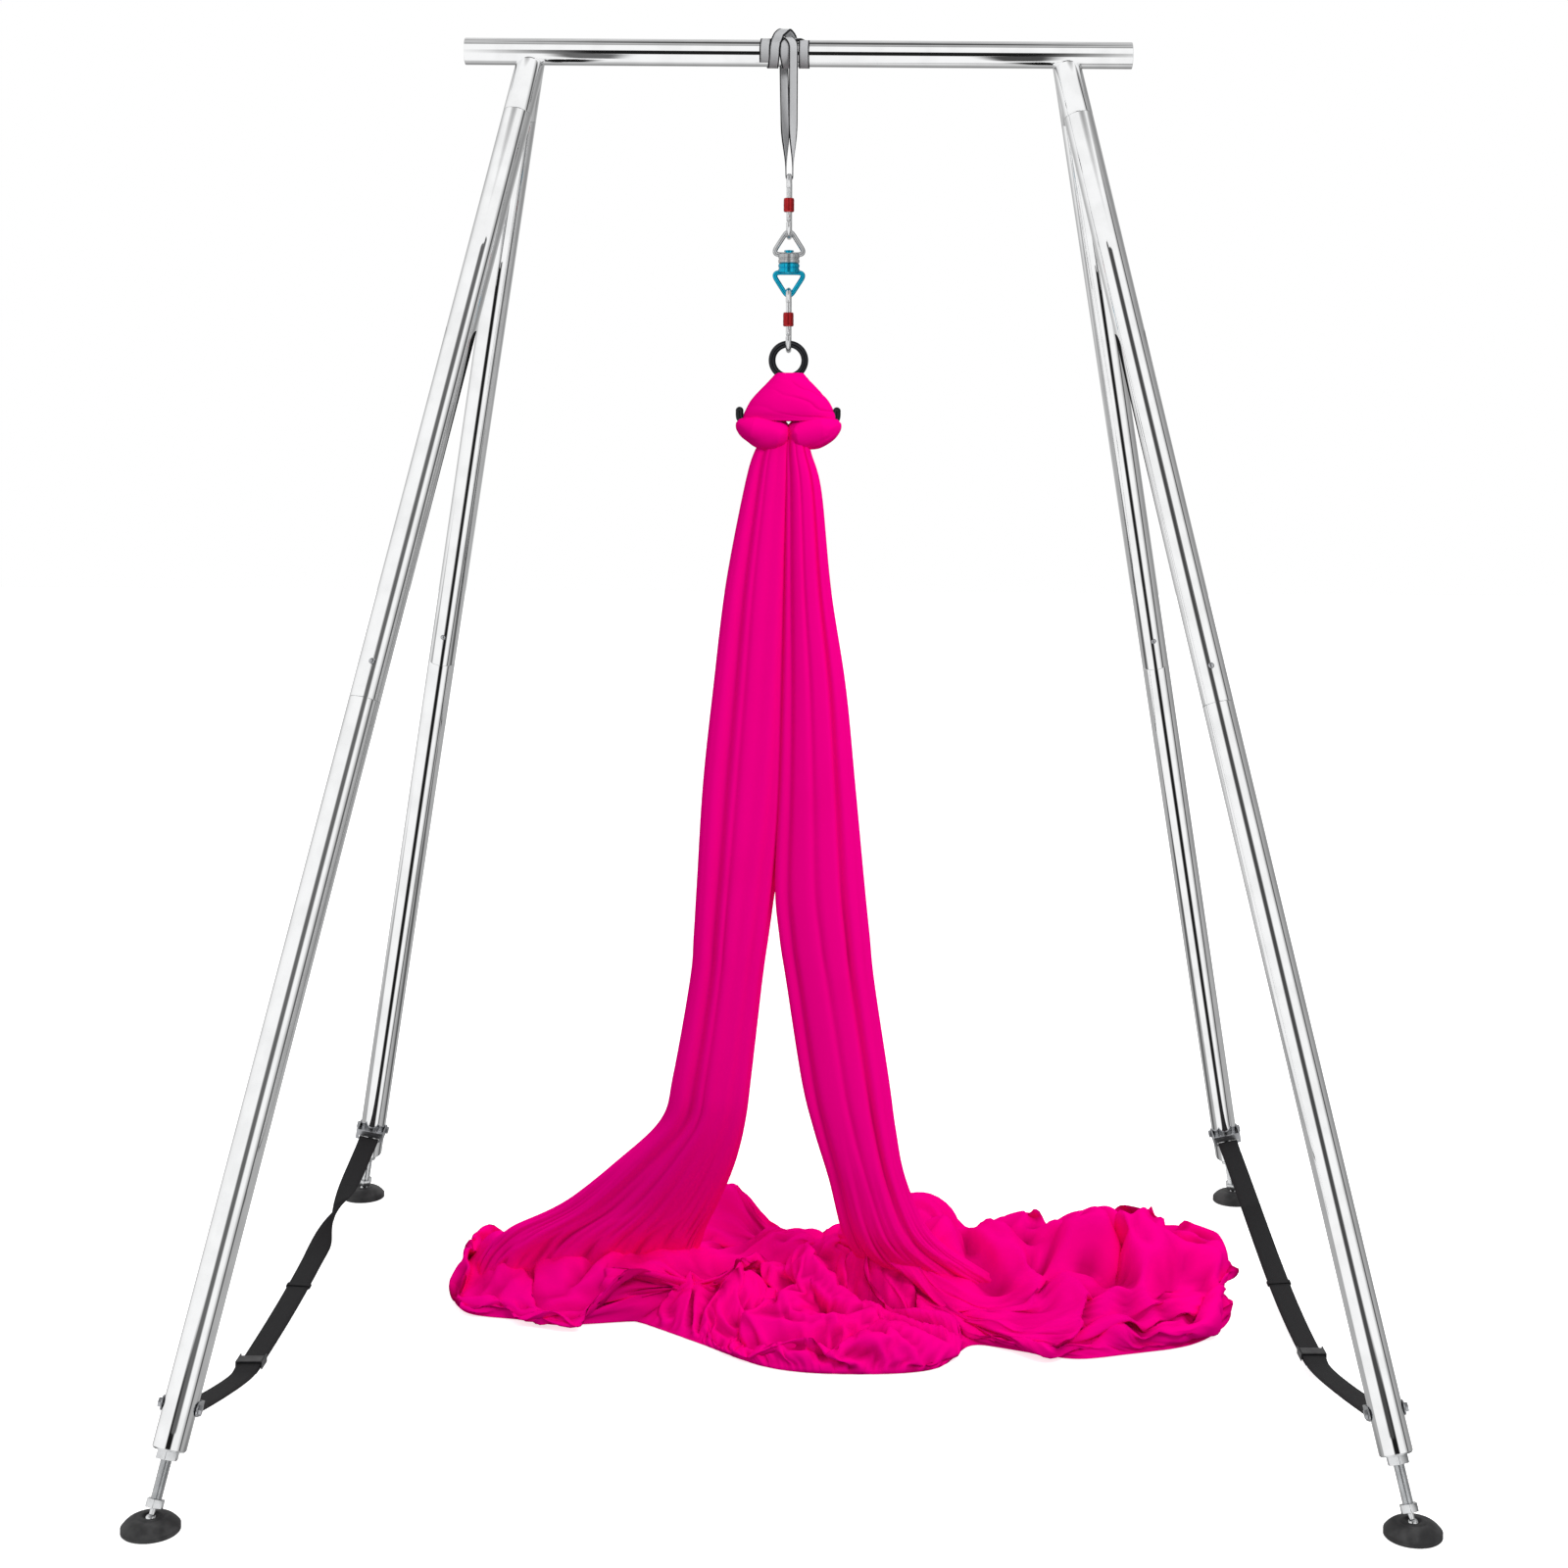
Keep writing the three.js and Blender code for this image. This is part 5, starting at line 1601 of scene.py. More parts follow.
def spline(corners: Sequence[Vector], steps: int) -> list[Vector]:
    """A smooth line through a few points.

    Args:
        corners: The points.
        steps: How many pieces the whole line has.

    Returns:
        The points of the line.
    """
    points = []
    last = len(corners) - 1
    for i in range(steps + 1):
        at = i / steps * last
        k = min(int(at), last - 1)
        t = at - k
        p0, p1 = corners[max(k - 1, 0)], corners[k]
        p2, p3 = corners[k + 1], corners[min(k + 2, last)]
        points.append(
            0.5 * (2 * p1 + (p2 - p0) * t + (2 * p0 - 5 * p1 + 4 * p2 - p3) * t * t
                   + (3 * p1 - p0 - 3 * p2 + p3) * t**3)
        )
    return points


# The silk

# how strongly folds in the tubes of cloth are painted dark, as painted shade
TUBE_FOLD_SHADE_GAIN = 9.0
NEVER_CRISP = 180.0


def outwards(mesh: bmesh.types.BMesh) -> bmesh.types.BMesh:
    """Closes the seam of a tube of cloth and turns its faces outwards."""
    bmesh.ops.remove_doubles(mesh, verts=mesh.verts, dist=0.01 * MM)
    mesh.normal_update()
    middle = sum((v.co for v in mesh.verts), Vector()) / len(mesh.verts)
    out = sum((f.calc_center_median() - middle).dot(f.normal) * f.calc_area() for f in mesh.faces)
    if out < 0:
        bmesh.ops.reverse_faces(mesh, faces=mesh.faces)
    return mesh


def hollows(mesh: bmesh.types.BMesh, gain: float, passes: int = 3) -> bmesh.types.BMesh:
    """Marks painted shade on a sheet: each corner is darkened more the deeper it lies in a fold, for its
    material.

    Args:
        mesh: The sheet.
        gain: How strongly a fold is painted dark.
        passes: How often the marks are evened out.

    Returns:
        The same sheet.
    """
    mesh.normal_update()
    indexed(mesh)
    near = [[edge.other_vert(v).index for edge in v.link_edges] for v in mesh.verts]
    places = [v.co.copy() for v in mesh.verts]
    marks = []
    for v, others in zip(mesh.verts, near):
        mean = sum((places[i] for i in others), Vector()) / len(others) - v.co
        span = sum((places[i] - v.co).length for i in others) / len(others)
        marks.append(mean.dot(v.normal) / max(span, 0.01 * MM))
    for _ in range(passes):
        around = [sum(marks[i] for i in others) / len(others) for others in near]
        marks = [0.5 * mark + 0.5 * mean for mark, mean in zip(marks, around)]
    # the painted shade of the folds, which the silk's colour reads
    layer = mesh.verts.layers.float.new(FOLD_SHADE_NAME)
    for v, mark in zip(mesh.verts, marks):
        v[layer] = min(max(gain * mark, 0.0), 1.0)
    return mesh


def silk(
    mesh: bmesh.types.BMesh,
    name: str,
    replaces: Iterable[str],
    wall: float,
    held: Hold,
    soften: int = 0,
) -> None:
    """Args:
        mesh: The sheet, one face thick, which is freed.
        name: The piece's name.
        replaces: The solids that it stands for.
        wall: The thickness of the cloth.
        held: How it is held; not used.
        soften: How many levels of subdivision it gets.
    """
    made = piece(mesh, name, SILK, "hanging_set", replaces, NEVER_CRISP, wall, soften)
    made.visible_glossy = False


@dataclass(frozen=True)
class Crease:
    """A fold line down a tail: where it is round the tail, how wide and how deep."""

    at: float
    wide: float
    deep: float
    drift: float = 0.0


@dataclass
class Tail:
    """One gathered length of silk that hangs from the hitch to the heap.

    The stations are millimetres: the drop under the hitch, the left and right edges, and the middle
    and half of the depth.
    """

    name: str
    top: float
    stations: tuple[tuple[float, float, float, float, float], ...]
    creases: tuple[Crease, ...]
    flares: float = 0.6
    columns: int = 220
    rows: int = 220
    wall: float = 0.9 * MM

    def build(self) -> None:
        """Builds the tail."""
        lines = spline([Vector(s[:3]) for s in self.stations], self.rows)
        depths = spline([Vector((s[0], s[3], s[4])) for s in self.stations], self.rows)

        def where(u: float, v: float) -> Vector:
            """The place of a point of the cloth: u runs round the gathered tail."""
            i = round(v * self.rows)
            drop, left, right = lines[i]
            middle_y, half_y = depths[i].y, depths[i].z
            angle = FULL_TURN * (u - 0.25)
            inset = 0.0
            for crease in self.creases:
                away = (u - crease.at - crease.drift * v + 0.5) % 1 - 0.5
                inset += crease.deep * math.exp(-((away / crease.wide) ** 2))
            inset *= 0.55 + 0.45 * smooth(v, 0, 0.25)
            wave = 0.02 * noise.noise(Vector((5 * math.cos(angle), 5 * math.sin(angle), 3 * v)))
            spread = smooth(v, self.flares, self.flares + 0.22)
            ripple = noise.noise(Vector((3.2 * math.cos(angle) + 1.4 * v, 3.2 * math.sin(angle), 3.4 * v)))
            fine = noise.noise(Vector((8 * math.cos(angle) + 3 * v, 8 * math.sin(angle), 9 * v)))
            wave -= spread * (0.3 * abs(ripple) + 0.12 * abs(fine))
            swell = 1 - min(inset, 0.75) * (1 - 0.5 * spread) + wave
            half_x = (right - left) / 2
            x = (left + right) / 2 + half_x * math.cos(angle) * (1 - 0.25 * (1 - swell))
            y = middle_y + half_y * math.sin(angle) * swell
            return Vector((x, y, self.top / MM - drop)) * MM

        def size(u: float, v: float) -> tuple[float, float]:
            """Metres across and along the cloth."""
            return u * 0.8, v * 2.0

        mesh = drape(self.columns, self.rows, where, size)
        mesh = hollows(outwards(mesh), TUBE_FOLD_SHADE_GAIN)
        silk(mesh, f"silk_length_{self.name}", [f"silk_tail_{self.name}"], self.wall, Hold.HUNG)


@dataclass(frozen=True)
class Bump:
    """A rise in the heap: where it is, how high and how wide, in millimetres."""

    x: float
    y: float
    high: float
    wide: float


@dataclass
class Heap:
    """The silk on the floor: one sheet, wider than its place, that is let fall over a low mound."""

    outline: tuple[tuple[float, float], ...]
    bumps: tuple[Bump, ...]
    middle: tuple[float, float] = (80.0, 230.0)
    rosettes: tuple[tuple[float, float, float], ...] = (
        (590.0, 250.0, 85.0), (715.0, 220.0, 80.0), (-120.0, 90.0, 70.0),
    )
    fan: tuple[float, float] = (-230.0, 330.0)
    crumple: float = 32.0
    columns: int = 136
    rows: int = 88
    frames: int = 24
    surplus: float = 0.65
    rim_up: float = 2.5
    # how strongly folds in the heap are painted dark, as painted shade
    gain: float = 3.2
    wall: float = 0.9 * MM

    def build(self) -> None:
        """Builds the heap."""
        self.rim = self.reaches()
        sheet = object_of(self.sheet(1.0, self.rim_up, 1.0, self.columns, self.rows), "sheet")
        mesh = hollows(taken(self.settled(sheet)), self.gain, 2)
        silk(mesh, "silk_on_floor", ["silk_heap"], self.wall, Hold.LAID, 1)

    def reaches(self) -> list[float]:
        """How far the outline is from the middle at each degree."""
        corners = [Vector((*corner, 0)) for corner in self.outline]
        line = spline([*corners[-2:], *corners, *corners[:3]], 40 * len(corners))
        found: dict[int, float] = {}
        for point in line:
            out = point - Vector((*self.middle, 0))
            degree = int(math.degrees(math.atan2(out.y, out.x)) % 360)
            found[degree] = max(found.get(degree, 0.0), out.length)
        last = next(iter(found.values()))
        reaches = []
        for degree in range(360):
            last = found.get(degree, last)
            reaches.append(last)
        return reaches

    def reach(self, angle: float) -> float:
        """The distance from the middle to the rim at an angle."""
        degree = math.degrees(angle) % 360
        low = int(degree) % 360
        share = degree - int(degree)
        return self.rim[low] * (1 - share) + self.rim[(low + 1) % 360] * share

    def mound(self, x: float, y: float) -> float:
        """The height of the mound at a place, in millimetres."""
        power = 6
        total = sum(
            (b.high * math.exp(-((x - b.x) ** 2 + (y - b.y) ** 2) / b.wide**2)) ** power for b in self.bumps
        )
        return total ** (1 / power)

    def disc(self, u: float, v: float) -> tuple[float, float]:
        """Turns a place on the square sheet into a share of the radius and an angle.

        Args:
            u: The share across the sheet.
            v: The share along it.

        Returns:
            The share of the radius and the angle.
        """
        a, b = 2 * u - 1, 2 * v - 1
        if a == 0 and b == 0:
            return 0.0, 0.0
        if abs(a) > abs(b):
            share, angle = a, math.pi / 4 * (b / a)
        else:
            share, angle = b, math.pi / 2 - math.pi / 4 * (a / b)
        return (share, angle) if share >= 0 else (-share, angle + math.pi)

    def folds(self, x: float, y: float) -> float:
        """The sheet's first folds, in millimetres: a fan on the left, slants, and rosettes on the right."""
        left, right = smooth(-x, 0, 260), smooth(x, 380, 560)
        warp = noise.noise_vector(Vector((x / 210, y / 210, 1.5)))
        wx, wy = x + 70 * warp.x, y + 70 * warp.y
        around = math.atan2(wy - self.fan[1], wx - self.fan[0])
        away = math.hypot(wx - self.fan[0], wy - self.fan[1])
        slant = self.pleats((0.77 * wx - 0.64 * wy) / 330, (0.64 * wx + 0.77 * wy) / 62, 2.0)
        fan = self.pleats(away / 330, around * 4.4, 5.0)
        curls = 0.0
        for k, (cx, cy, size) in enumerate(self.rosettes):
            out = math.hypot(x - cx, y - cy)
            turn = math.atan2(y - cy, x - cx)
            wound = out / 11 + 1.5 * turn + 1.3 * math.sin(2 * turn + k)
            curls += math.exp(-((out / size) ** 4)) * math.sin(wound)
        upright = self.pleats(wy / 260, wx / 58, 8.0)
        middle = max(0.0, 1 - left - right)
        return self.crumple * (middle * slant + left * fan + 1.3 * right * upright) + 18 * curls

    def pleats(self, along: float, across: float, seed: float) -> float:
        """Sharp ridges that run along one way, with finer ones between them.

        Args:
            along: The place along the ridges.
            across: The place across them.
            seed: Which pattern it is.

        Returns:
            A height between about minus one and one.
        """
        total = 0.0
        for octave, share in ((1.0, 0.62), (2.1, 0.38)):
            value = noise.noise(Vector((along * octave, across * octave, seed + octave)))
            total += share * (1 - 3.2 * abs(value))
        return total

    def sheet(self, rise: float, lift: float, rough: float, columns: int, rows: int) -> bmesh.types.BMesh:
        """Lays the sheet over the mound.

        Args:
            rise: How much of the mound's height it has.
            lift: How far it is over the floor.
            rough: How much of the first folds it has.
            columns: How many cells run across.
            rows: How many cells run along.

        Returns:
            The sheet, one face thick.
        """

        def where(u: float, v: float) -> Vector:
            """The place of a point of the sheet."""
            share, angle = self.disc(u, v)
            out = self.reach(angle) * share
            x, y = self.middle[0] + out * math.cos(angle), self.middle[1] + out * math.sin(angle)
            edge = 1 - share ** (2.6 + 4.5 * abs(math.cos(angle)) ** 3)
            up = (12 + self.mound(x, y)) * edge * rise
            up += rough * self.folds(x, y) * min(1.0, 2.2 * edge)
            return Vector((x, y, max(up, 0.0) + lift)) * MM

        return drape(columns, rows, where, lambda u, v: (u * 3.0, v * 1.9))

    def blocker(self, mesh: bmesh.types.BMesh, name: str, gap: float, grip: float) -> bpy.types.Object:
        """A surface that the sheet can't pass.

        Args:
            mesh: Its shape.
            name: Its name.
            gap: How far the sheet stays off it.
            grip: How much it holds the sheet back.

        Returns:
            The surface.
        """
        made = object_of(mesh, name)
        made.modifiers.new("stop", "COLLISION")
        made.collision.thickness_outer = gap
        made.collision.cloth_friction = grip
        return made

    def settled(self, sheet: bpy.types.Object) -> bpy.types.Mesh:
        """Lets the sheet grow by its surplus and fall over the mound and the floor.

        Args:
            sheet: The sheet, which is removed.

        Returns:
            The shape in which it comes to rest.
        """
        inner = self.blocker(self.sheet(0.93, -5.0, 0.35, 84, 54), "mound", 4 * MM, 20)
        ground = bmesh.new()
        bmesh.ops.create_grid(ground, x_segments=4, y_segments=4, size=3)
        ground = self.blocker(ground, "ground", 2 * MM, 40)
        held = sheet.vertex_groups.new(name="held")
        stride = self.columns + 1
        for vert in sheet.data.vertices:
            row, column = divmod(vert.index, stride)
            share, _ = self.disc(column / self.columns, row / self.rows)
            held.add([vert.index], 1.0 if share > 0.985 else 0.0, "REPLACE")
        cloth = sheet.modifiers.new("fall", "CLOTH")
        for key, value in {
            "vertex_group_mass": held.name, "pin_stiffness": 1.0,
            "quality": 5, "mass": 0.12, "air_damping": 2.0,
            "tension_stiffness": 20, "compression_stiffness": 20,
            "shear_stiffness": 8, "bending_stiffness": 0.3,
            "tension_damping": 8, "compression_damping": 8,
            "shear_damping": 8, "bending_damping": 0.5,
            "shrink_min": -self.surplus, "shrink_max": -self.surplus,
        }.items():
            setattr(cloth.settings, key, value)
        cloth.collision_settings.distance_min = 3 * MM
        cloth.collision_settings.collision_quality = 2
        frames = self.frames
        cloth.point_cache.frame_start, cloth.point_cache.frame_end = 1, frames
        scene = bpy.context.scene
        for frame in range(1, frames + 1):
            scene.frame_set(frame)
        shape = evaluated(sheet)
        discard(sheet, inner, ground)
        scene.frame_set(1)
        return shape


@dataclass
class Hitch:
    """The silk round the descender: a hood over the front and a lobe under each ear."""

    large_up: float = 2116.6 * MM
    wall: float = 1.0 * MM
    columns: int = 144
    rows: int = 80
    # up, half width and half depth in millimetres
    hood_line: tuple[tuple[float, float, float], ...] = (
        (85.5, 31, 14), (80, 35, 20), (67, 47, 28), (45, 68, 35), (21, 89, 40), (0, 100, 41),
        (-12, 105, 38), (-23, 107, 34),
    )
    # outwards, up and half thickness in millimetres
    lobe_line: tuple[tuple[float, float, float], ...] = (
        (113, -22, 8), (104, -30, 21), (86, -39, 32), (60, -46, 40), (36, -50, 40), (18, -55, 34),
        (7, -59, 25), (0.5, -61, 15),
    )

    def build(self) -> None:
        """Builds the hood and the two lobes."""
        self.hood()
        for side in Side:
            self.lobe(side)

    def hood(self) -> None:
        """The cone of cloth from the small ring down to the ears, with faint slanting creases."""
        line = spline([Vector(s) for s in self.hood_line], self.rows)

        def where(u: float, v: float) -> Vector:
            """The place of a point round the hood."""
            up, half_x, half_y = line[round(v * self.rows)]
            angle = FULL_TURN * u
            side = math.cos(angle)
            crease = noise.noise(Vector((1.6 * side, 1.6 * math.sin(angle), 5 * v)))
            slant = math.sin(26 * v - 5 * side + 2.5 * crease)
            right = smooth(side, -0.2, 0.5)
            swell = 1 + 0.02 * crease - 0.04 * (0.35 + 0.65 * right) * max(slant, 0.0) ** 3
            roll = 1 + 0.03 * math.exp(-(((v - 0.97) / 0.03) ** 2))
            return Vector((3 + half_x * (1 + 0.4 * (swell - 1)) * side + HANG_X / MM,
                           half_y * swell * roll * math.sin(angle), self.large_up / MM + up)) * MM

        mesh = drape(self.columns, self.rows, where, lambda u, v: (u * 0.5, v * 0.12))
        silk(hollows(outwards(mesh), TUBE_FOLD_SHADE_GAIN), "silk_hood", ["silk_wrap"], self.wall, Hold.GATHERED)

    def lobe(self, side: Side) -> None:
        """The roll of cloth from an ear to the middle, where the tails drop.

        Args:
            side: Which ear it comes from.
        """
        line = spline([Vector(c) for c in self.lobe_line], self.rows)

        def where(u: float, v: float) -> Vector:
            """The place of a point: u runs round the roll."""
            i = round(v * self.rows)
            out, up, half = line[i]
            before, after = line[max(i - 1, 0)], line[min(i + 1, self.rows)]
            way = Vector((after.x - before.x, 0, after.y - before.y)).normalized()
            normal = Vector((-way.z, 0, way.x))
            angle = FULL_TURN * u
            crease = noise.noise(Vector((2 * math.cos(angle) + side.value, 2 * math.sin(angle), 2.5 * v)))
            slant = max(0.0, math.sin(2 * angle - side.value * 9 * v + 2 * crease)) ** 2
            reach = half * (1 - 0.07 * slant * smooth(v, 0.1, 0.4)) * (1 + 0.03 * crease)
            at = Vector((out, 0, up)) + normal * reach * math.cos(angle)
            at.y = 1.2 * min(reach, 34) * math.sin(angle)
            return Vector((side.value * at.x + 1 + HANG_X / MM, at.y, at.z + self.large_up / MM)) * MM

        mesh = drape(self.columns // 2, self.rows, where, lambda u, v: (u * 0.2, v * 0.15))
        silk(hollows(outwards(mesh), TUBE_FOLD_SHADE_GAIN), f"silk_lobe_{side.label}", (), self.wall, Hold.GATHERED)


TAIL_TOP = 2062 * MM
LEFT_TAIL = Tail(
    "left",
    TAIL_TOP,
    (
        (0, -68, -2, 4, 22), (38, -96, 0, 6, 25), (125, -120, 4, 9, 30), (347, -161, 4, 10, 33),
        (570, -187, -2, 10, 34), (794, -210, -14, 10, 36), (1017, -223, -42, 10, 38),
        (1139, -230, -58, 12, 39), (1242, -238, -72, 16, 40), (1468, -277, -97, 34, 42),
        (1581, -308, -111, 60, 46), (1695, -417, -135, 110, 54), (1812, -548, -175, 175, 66),
        (1890, -680, -205, 225, 84), (1950, -740, -225, 262, 92), (2005, -768, -240, 285, 92),
        (2048, -775, -250, 295, 84),
    ),
    (
        Crease(0.9, 0.03, 0.4, 0.03), Crease(0.955, 0.012, 0.12, 0.04), Crease(0.03, 0.03, 0.12, 0.03),
        Crease(0.12, 0.03, 0.2, -0.02), Crease(0.2, 0.02, 0.3, 0.02),
        Crease(0.35, 0.04, 0.4), Crease(0.5, 0.05, 0.5), Crease(0.65, 0.04, 0.4, 0.03),
    ),
)
RIGHT_TAIL = Tail(
    "right",
    TAIL_TOP,
    (
        (0, -22, 24, -6, 22), (38, -24, 32, -7, 25), (125, -24, 56, -9, 30), (347, -26, 79, -10, 33),
        (570, -30, 114, -10, 34), (794, -36, 137, -10, 36), (1017, -46, 159, -10, 38),
        (1139, -36, 172, -10, 39), (1242, -20, 183, -10, 40), (1468, 16, 218, -10, 42),
        (1581, 44, 234, -8, 44), (1695, 78, 257, 4, 50), (1812, 105, 304, 30, 56),
        (1882, 130, 360, 70, 64), (1942, 170, 430, 120, 66), (1990, 220, 480, 160, 60),
        (2040, 260, 480, 190, 40),
    ),
    (
        Crease(0.86, 0.03, 0.35, 0.0), Crease(0.965, 0.014, 0.12, 0.06), Crease(0.085, 0.016, 0.35, 0.01),
        Crease(0.17, 0.03, 0.15, -0.01), Crease(0.35, 0.04, 0.4), Crease(0.5, 0.05, 0.5),
        Crease(0.7, 0.04, 0.4, 0.03),
    ),
)
HEAP = Heap(
    (
        (-829, 345), (-775, 138), (-646, 88), (-516, 46), (-444, 100), (-362, 73), (-220, -48), (-49, -197),
        (124, -234), (316, -204), (410, -60), (514, -87), (637, -133), (778, -96), (920, -35), (1016, 101),
        (1035, 250), (1000, 480), (880, 600), (700, 620), (500, 600), (300, 560), (100, 500), (-180, 560),
        (-450, 560), (-700, 500),
    ),
    (
        Bump(787, 400, 175, 125), Bump(880, 350, 140, 110), Bump(640, 380, 130, 110),
        Bump(510, 390, 135, 100), Bump(970, 290, 100, 110), Bump(590, 255, 140, 80),
        Bump(715, 235, 135, 80), Bump(830, 240, 120, 100), Bump(560, 70, 50, 150), Bump(700, 50, 60, 150),
        Bump(850, 80, 75, 130), Bump(950, 150, 80, 110), Bump(320, 400, 120, 120),
        Bump(160, 410, 105, 130), Bump(30, 420, 130, 110), Bump(-180, 420, 145, 100),
        Bump(-60, 280, 95, 130), Bump(100, 150, 70, 150), Bump(250, 240, 85, 130), Bump(-110, 90, 80, 90),
        Bump(0, -40, 50, 120), Bump(150, -110, 48, 130), Bump(320, -80, 45, 120), Bump(250, 90, 120, 90),
        Bump(340, 190, 130, 80), Bump(430, 260, 125, 80), Bump(-440, 350, 125, 150),
        Bump(-600, 330, 115, 120), Bump(-740, 350, 110, 85), Bump(-650, 190, 75, 110),
        Bump(-500, 140, 65, 130), Bump(-320, 120, 70, 110), Bump(-200, 60, 60, 100),
        Bump(-300, 260, 105, 130),
    ),
)


# The studio


@dataclass
class Studio:
    """The floor, the lights, the cards that the chrome reflects and the camera."""

    camera_at: tuple[float, float, float] = (0.08629, -5.36089, 2.00955)
    camera_yaw: float = -0.00476
    camera_down: float = 0.03304
    camera_roll: float = 0.00586
    lens: float = 54.326
    shift: tuple[float, float] = (-0.03936, -0.15767)
    floor_half: float = 30.0
    card_away: float = 0.4
    card_start: float = 0.03
    card_span: float = 0.84
    front_card: float = 0.15
    rear_card: float = 0.13
    left_tone: float = 0.14
    right_tone: float = 0.07
    rear_tone: float = 0.012
    low_light: float = 0.3
    high_light: float = 0.85
    lit_up: float = 0.9

    @property
    def lit(self) -> Vector:
        """The place that the lights face."""
        return Vector((0, 0, self.lit_up))

    def build(self) -> None:
        """Builds the studio."""
        self.floor()
        self.world()
        self.lights()
        for leg in LEGS:
            self.card(leg)
        self.camera()
        bpy.context.scene.view_settings.view_transform = "Standard"

    def flat(self, mesh: bmesh.types.BMesh, name: str) -> tuple[bpy.types.Object, Graph]:
        """Makes a flat stage piece.

        Args:
            mesh: Its shape.
            name: Its name.

        Returns:
            The piece and the graph of its material.
        """
        made = object_of(mesh, name)
        material = bpy.data.materials.new(name)
        material.use_nodes = True
        made.data.materials.append(material)
        return made, Graph(material.node_tree)

    def floor(self) -> None:
        """A plain pale floor that only the camera sees."""
        mesh = bmesh.new()
        bmesh.ops.create_grid(mesh, x_segments=2, y_segments=2, size=self.floor_half)
        made, graph = self.flat(mesh, "floor")
        made.location.z = -0.5 * MM
        made.visible_glossy = made.visible_diffuse = False
        graph.surface(
            Base_Color=(0.9, 0.9, 0.9), Roughness=0.9, Specular_IOR_Level=0.0,
            Emission_Color=(1.0, 1.0, 1.0, 1.0), Emission_Strength=0.7,
        )

    def card(self, leg: LegLine) -> None:
        """A dark card beside the camera's line to a leg, which only the chrome sees.

        Args:
            leg: The leg that reflects it.
        """
        lens = Vector(self.camera_at)
        up = leg.matrix.col[2].to_3d()
        front = leg.end is End.FRONT
        half = self.front_card if front else self.rear_card

        def where(u: float, v: float) -> Vector:
            """The place of a point of the card."""
            at = leg.matrix @ Vector((0, 0, leg.length * (self.card_start + self.card_span * v)))
            look = (at - lens).normalized()
            face = -(look - up * look.dot(up)).normalized()
            back = look - face * 2 * look.dot(face)
            across = up.cross(back).normalized()
            return at + back * self.card_away + across * (u - 0.5) * 2 * half

        mesh = drape(8, 24, where, lambda u, v: (u, v))
        made, graph = self.flat(mesh, f"card_{leg.name}")
        across, _ = graph.cloth()
        front_tone = self.left_tone if leg.side is Side.LEFT else self.right_tone
        tone = front_tone if front else self.rear_tone
        lit = graph.node("ShaderNodeEmission", None, {"Color": (tone, tone, tone)})
        clear = graph.node("ShaderNodeBsdfTransparent")
        shows = 1 - abs(across - 0.5).ramp(0.2, 0.5)
        both = graph.node("ShaderNodeMixShader", None, {0: shows, 1: clear, 2: lit})
        graph.node("ShaderNodeOutputMaterial", None, {0: both})
        for way in ("camera", "diffuse", "transmission", "shadow", "volume_scatter"):
            setattr(made, f"visible_{way}", False)

    def world(self) -> None:
        """A white room, with bands of grey and black that only the chrome sees."""
        world = bpy.data.worlds.new("studio")
        bpy.context.scene.world = world
        world.use_nodes = True
        graph = Graph(world.node_tree)
        way = graph.node("ShaderNodeTexCoord", output="Generated")
        x = graph.node("ShaderNodeSeparateXYZ", None, {0: way})
        y, z = (Wire(graph, x.socket.node.outputs[i]) for i in (1, 2))
        turn = x.maths("ARCTAN2", x, -1 * y) / FULL_TURN

        def grey(tone: float) -> Colour:
            """A neutral colour."""
            return (tone, tone, tone)

        sides = graph.node("ShaderNodeValToRGB", {"stops": [
            (0.0, grey(0.62)), (0.1, grey(0.5)), (0.2, grey(0.95)), (0.3, grey(1.0)), (0.65, grey(1.0)),
            (0.695, grey(0.5)), (0.71, grey(0.07)), (0.725, grey(0.12)), (0.74, grey(0.45)),
            (0.86, grey(0.28)), (1.0, grey(0.62)),
        ]}, {0: turn + 0.5})
        above = graph.node("ShaderNodeValToRGB", {"stops": [
            (0.0, grey(1.0)), (0.80, grey(1.0)), (0.86, grey(0.3)), (0.96, grey(0.6)), (0.985, grey(0.08)),
            (1.0, grey(0.08)),
        ]}, {0: z})
        below = graph.node("ShaderNodeValToRGB", {"stops": [
            (0.0, grey(0.4)), (0.5, grey(0.45)), (0.56, grey(0.1)), (0.64, grey(0.12)), (0.7, grey(0.35)),
            (0.95, grey(0.6)), (1.0, grey(1.0)),
        ]}, {0: -1 * z})
        behind = y.ramp(0.0, 0.1)
        low_back = behind * (-1 * z).ramp(0.2, 0.3)
        core = (1 - abs(turn).ramp(0.035, 0.06)) * z.ramp(-0.42, -0.34) * (1 - z.ramp(0.1, 0.2))
        room = graph.blend(z.ramp(0.7, 0.8), sides, above)
        room = graph.blend(low_back, room, below)
        room = graph.blend(core, room, grey(0.012))
        path = graph.node("ShaderNodeLightPath", output="Is Glossy Ray")
        seen = Wire(graph, path.socket.node.outputs["Is Camera Ray"])
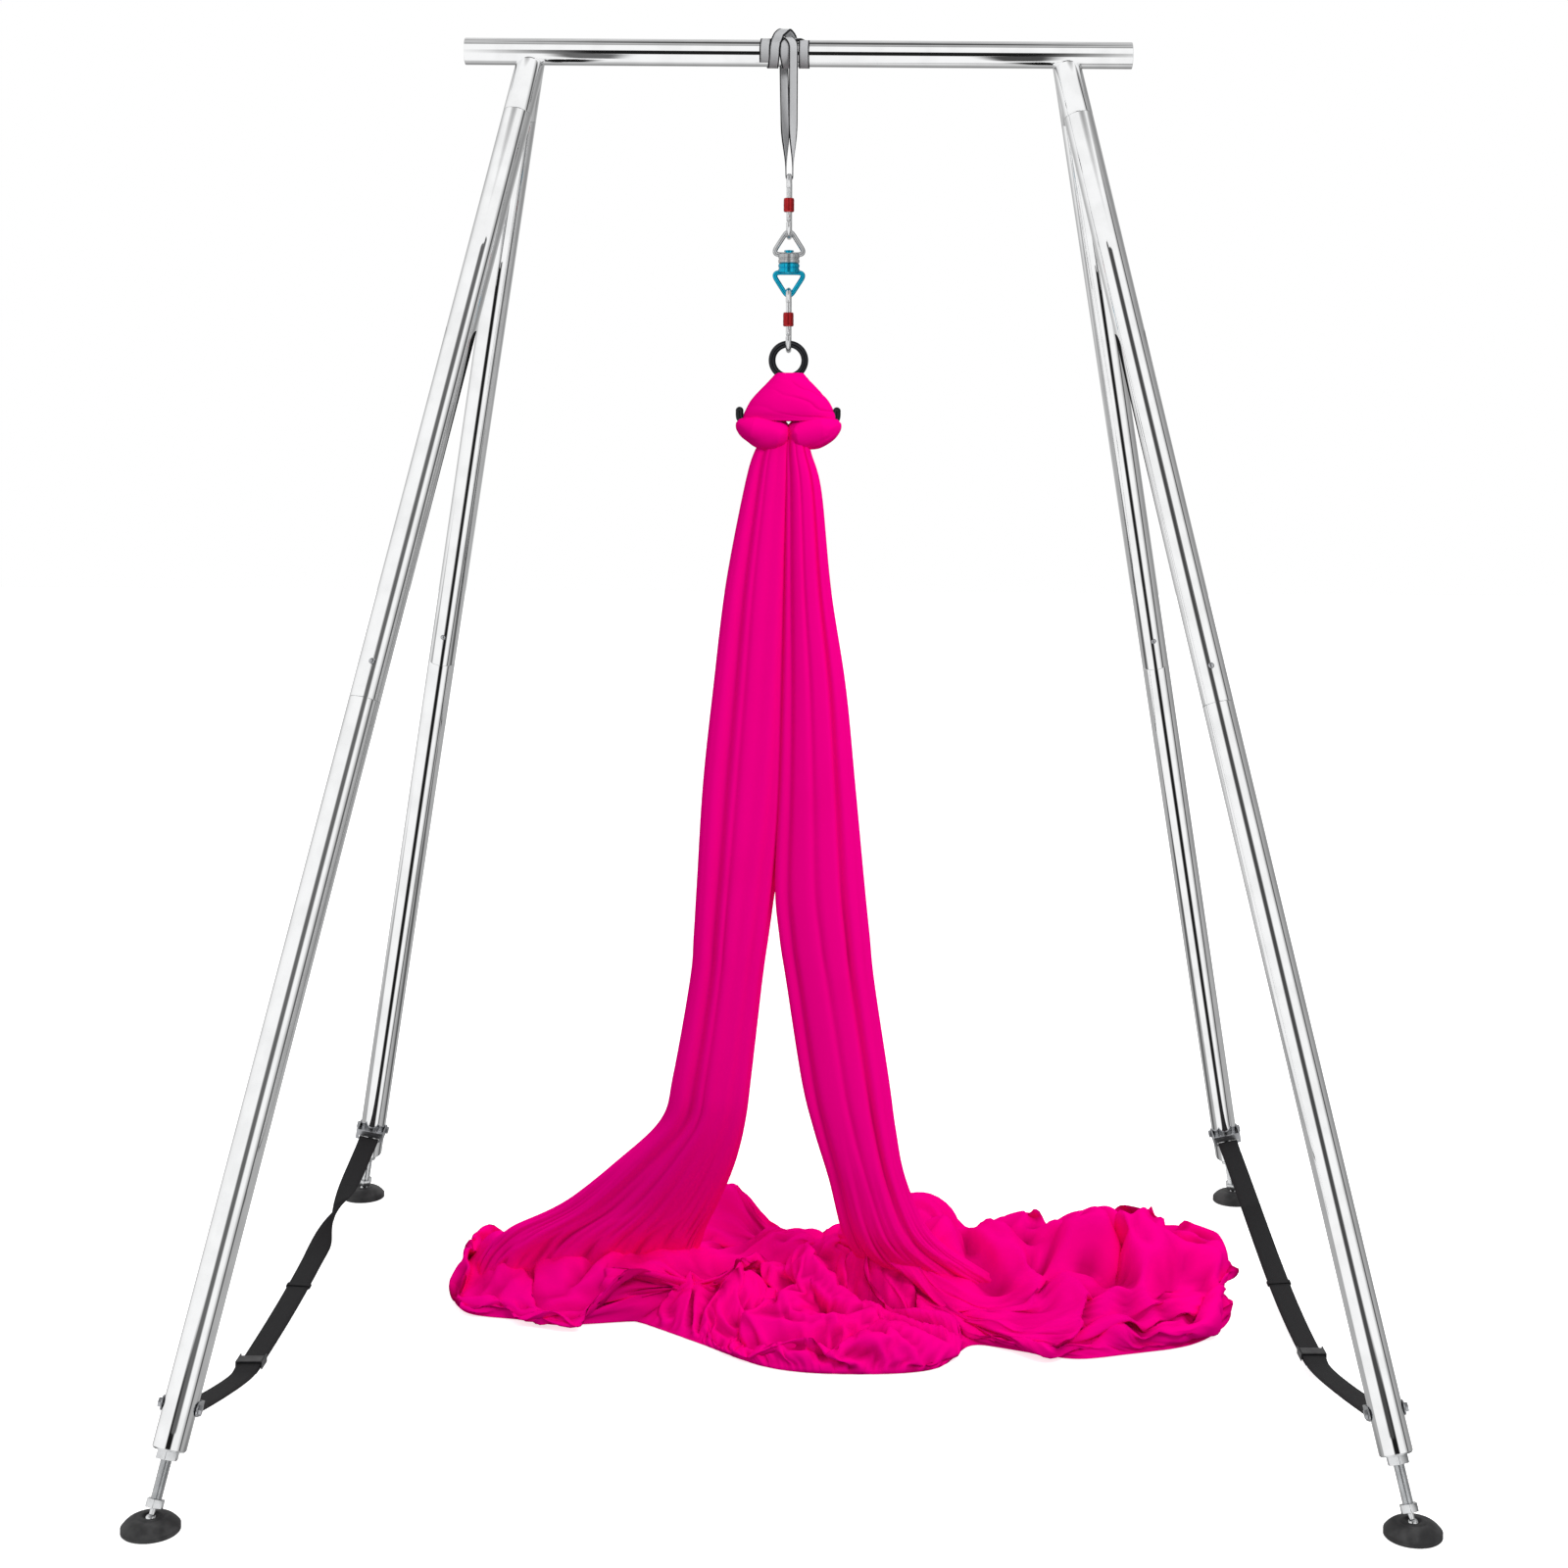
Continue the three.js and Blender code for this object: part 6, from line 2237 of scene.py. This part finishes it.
        soft = graph.blend(z.ramp(-0.6, 0.9), grey(self.low_light), grey(self.high_light))
        colour = graph.blend(path, soft, room)
        colour = graph.blend(seen, colour, grey(1.0))
        background = graph.node("ShaderNodeBackground", None, {"Color": colour, "Strength": 1.0})
        graph.node("ShaderNodeOutputWorld", None, {0: background})

    def lights(self) -> None:
        """A key light and a light from behind, neither of which the chrome sees."""
        for name, at, size, power in (
            ("key", (2.3, -3.4, 4.1), 1.2, 110.0),
            ("back", (0.5, 4.0, 4.0), 2.0, 20.0),
        ):
            data = bpy.data.lights.new(name, "AREA")
            data.size = size
            data.energy = power
            made = linked(name, data)
            made.location = at
            made.rotation_euler = (self.lit - Vector(at)).to_track_quat("-Z", "Y").to_euler()
            made.visible_glossy = False

    def camera(self) -> None:
        """The camera at the photograph's place."""
        data = bpy.data.cameras.new("camera")
        data.lens = self.lens
        data.sensor_width = 36.0
        data.shift_x, data.shift_y = self.shift
        data.clip_end = 100.0
        made = linked("camera", data)
        yaw = Matrix.Rotation(self.camera_yaw, 4, "Z")
        pitch = Matrix.Rotation(math.pi / 2 - self.camera_down, 4, "X")
        roll = Matrix.Rotation(self.camera_roll, 4, "Z")
        made.matrix_world = Matrix.Translation(self.camera_at) @ yaw @ pitch @ roll
        bpy.context.scene.camera = made


def main() -> None:
    """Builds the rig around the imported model."""
    logging.basicConfig(level=logging.INFO, format="%(message)s")
    noise.seed_set(NOISE_SEED)
    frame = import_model()
    Stand().build()
    Feet().build()
    SideStrap(frame, Side.LEFT, -362 * MM, 66 * MM, math.pi, 0.3, 0.44).build()
    SideStrap(frame, Side.RIGHT, -208 * MM, 34 * MM, 0.0, 0.5, 0.5).build()
    Sling().build()
    Carabiner("top_carabiner", 2650 * MM, "top_hook", "top_gate", "top_sleeve").build()
    Swivel().build()
    Carabiner("lower_carabiner", 2394.3 * MM, "hanging_set", "lower_gate", "lower_sleeve").build()
    Descender().build()
    Hitch().build()
    LEFT_TAIL.build()
    RIGHT_TAIL.build()
    HEAP.build()
    Studio().build()


if __name__ == "__main__":
    main()
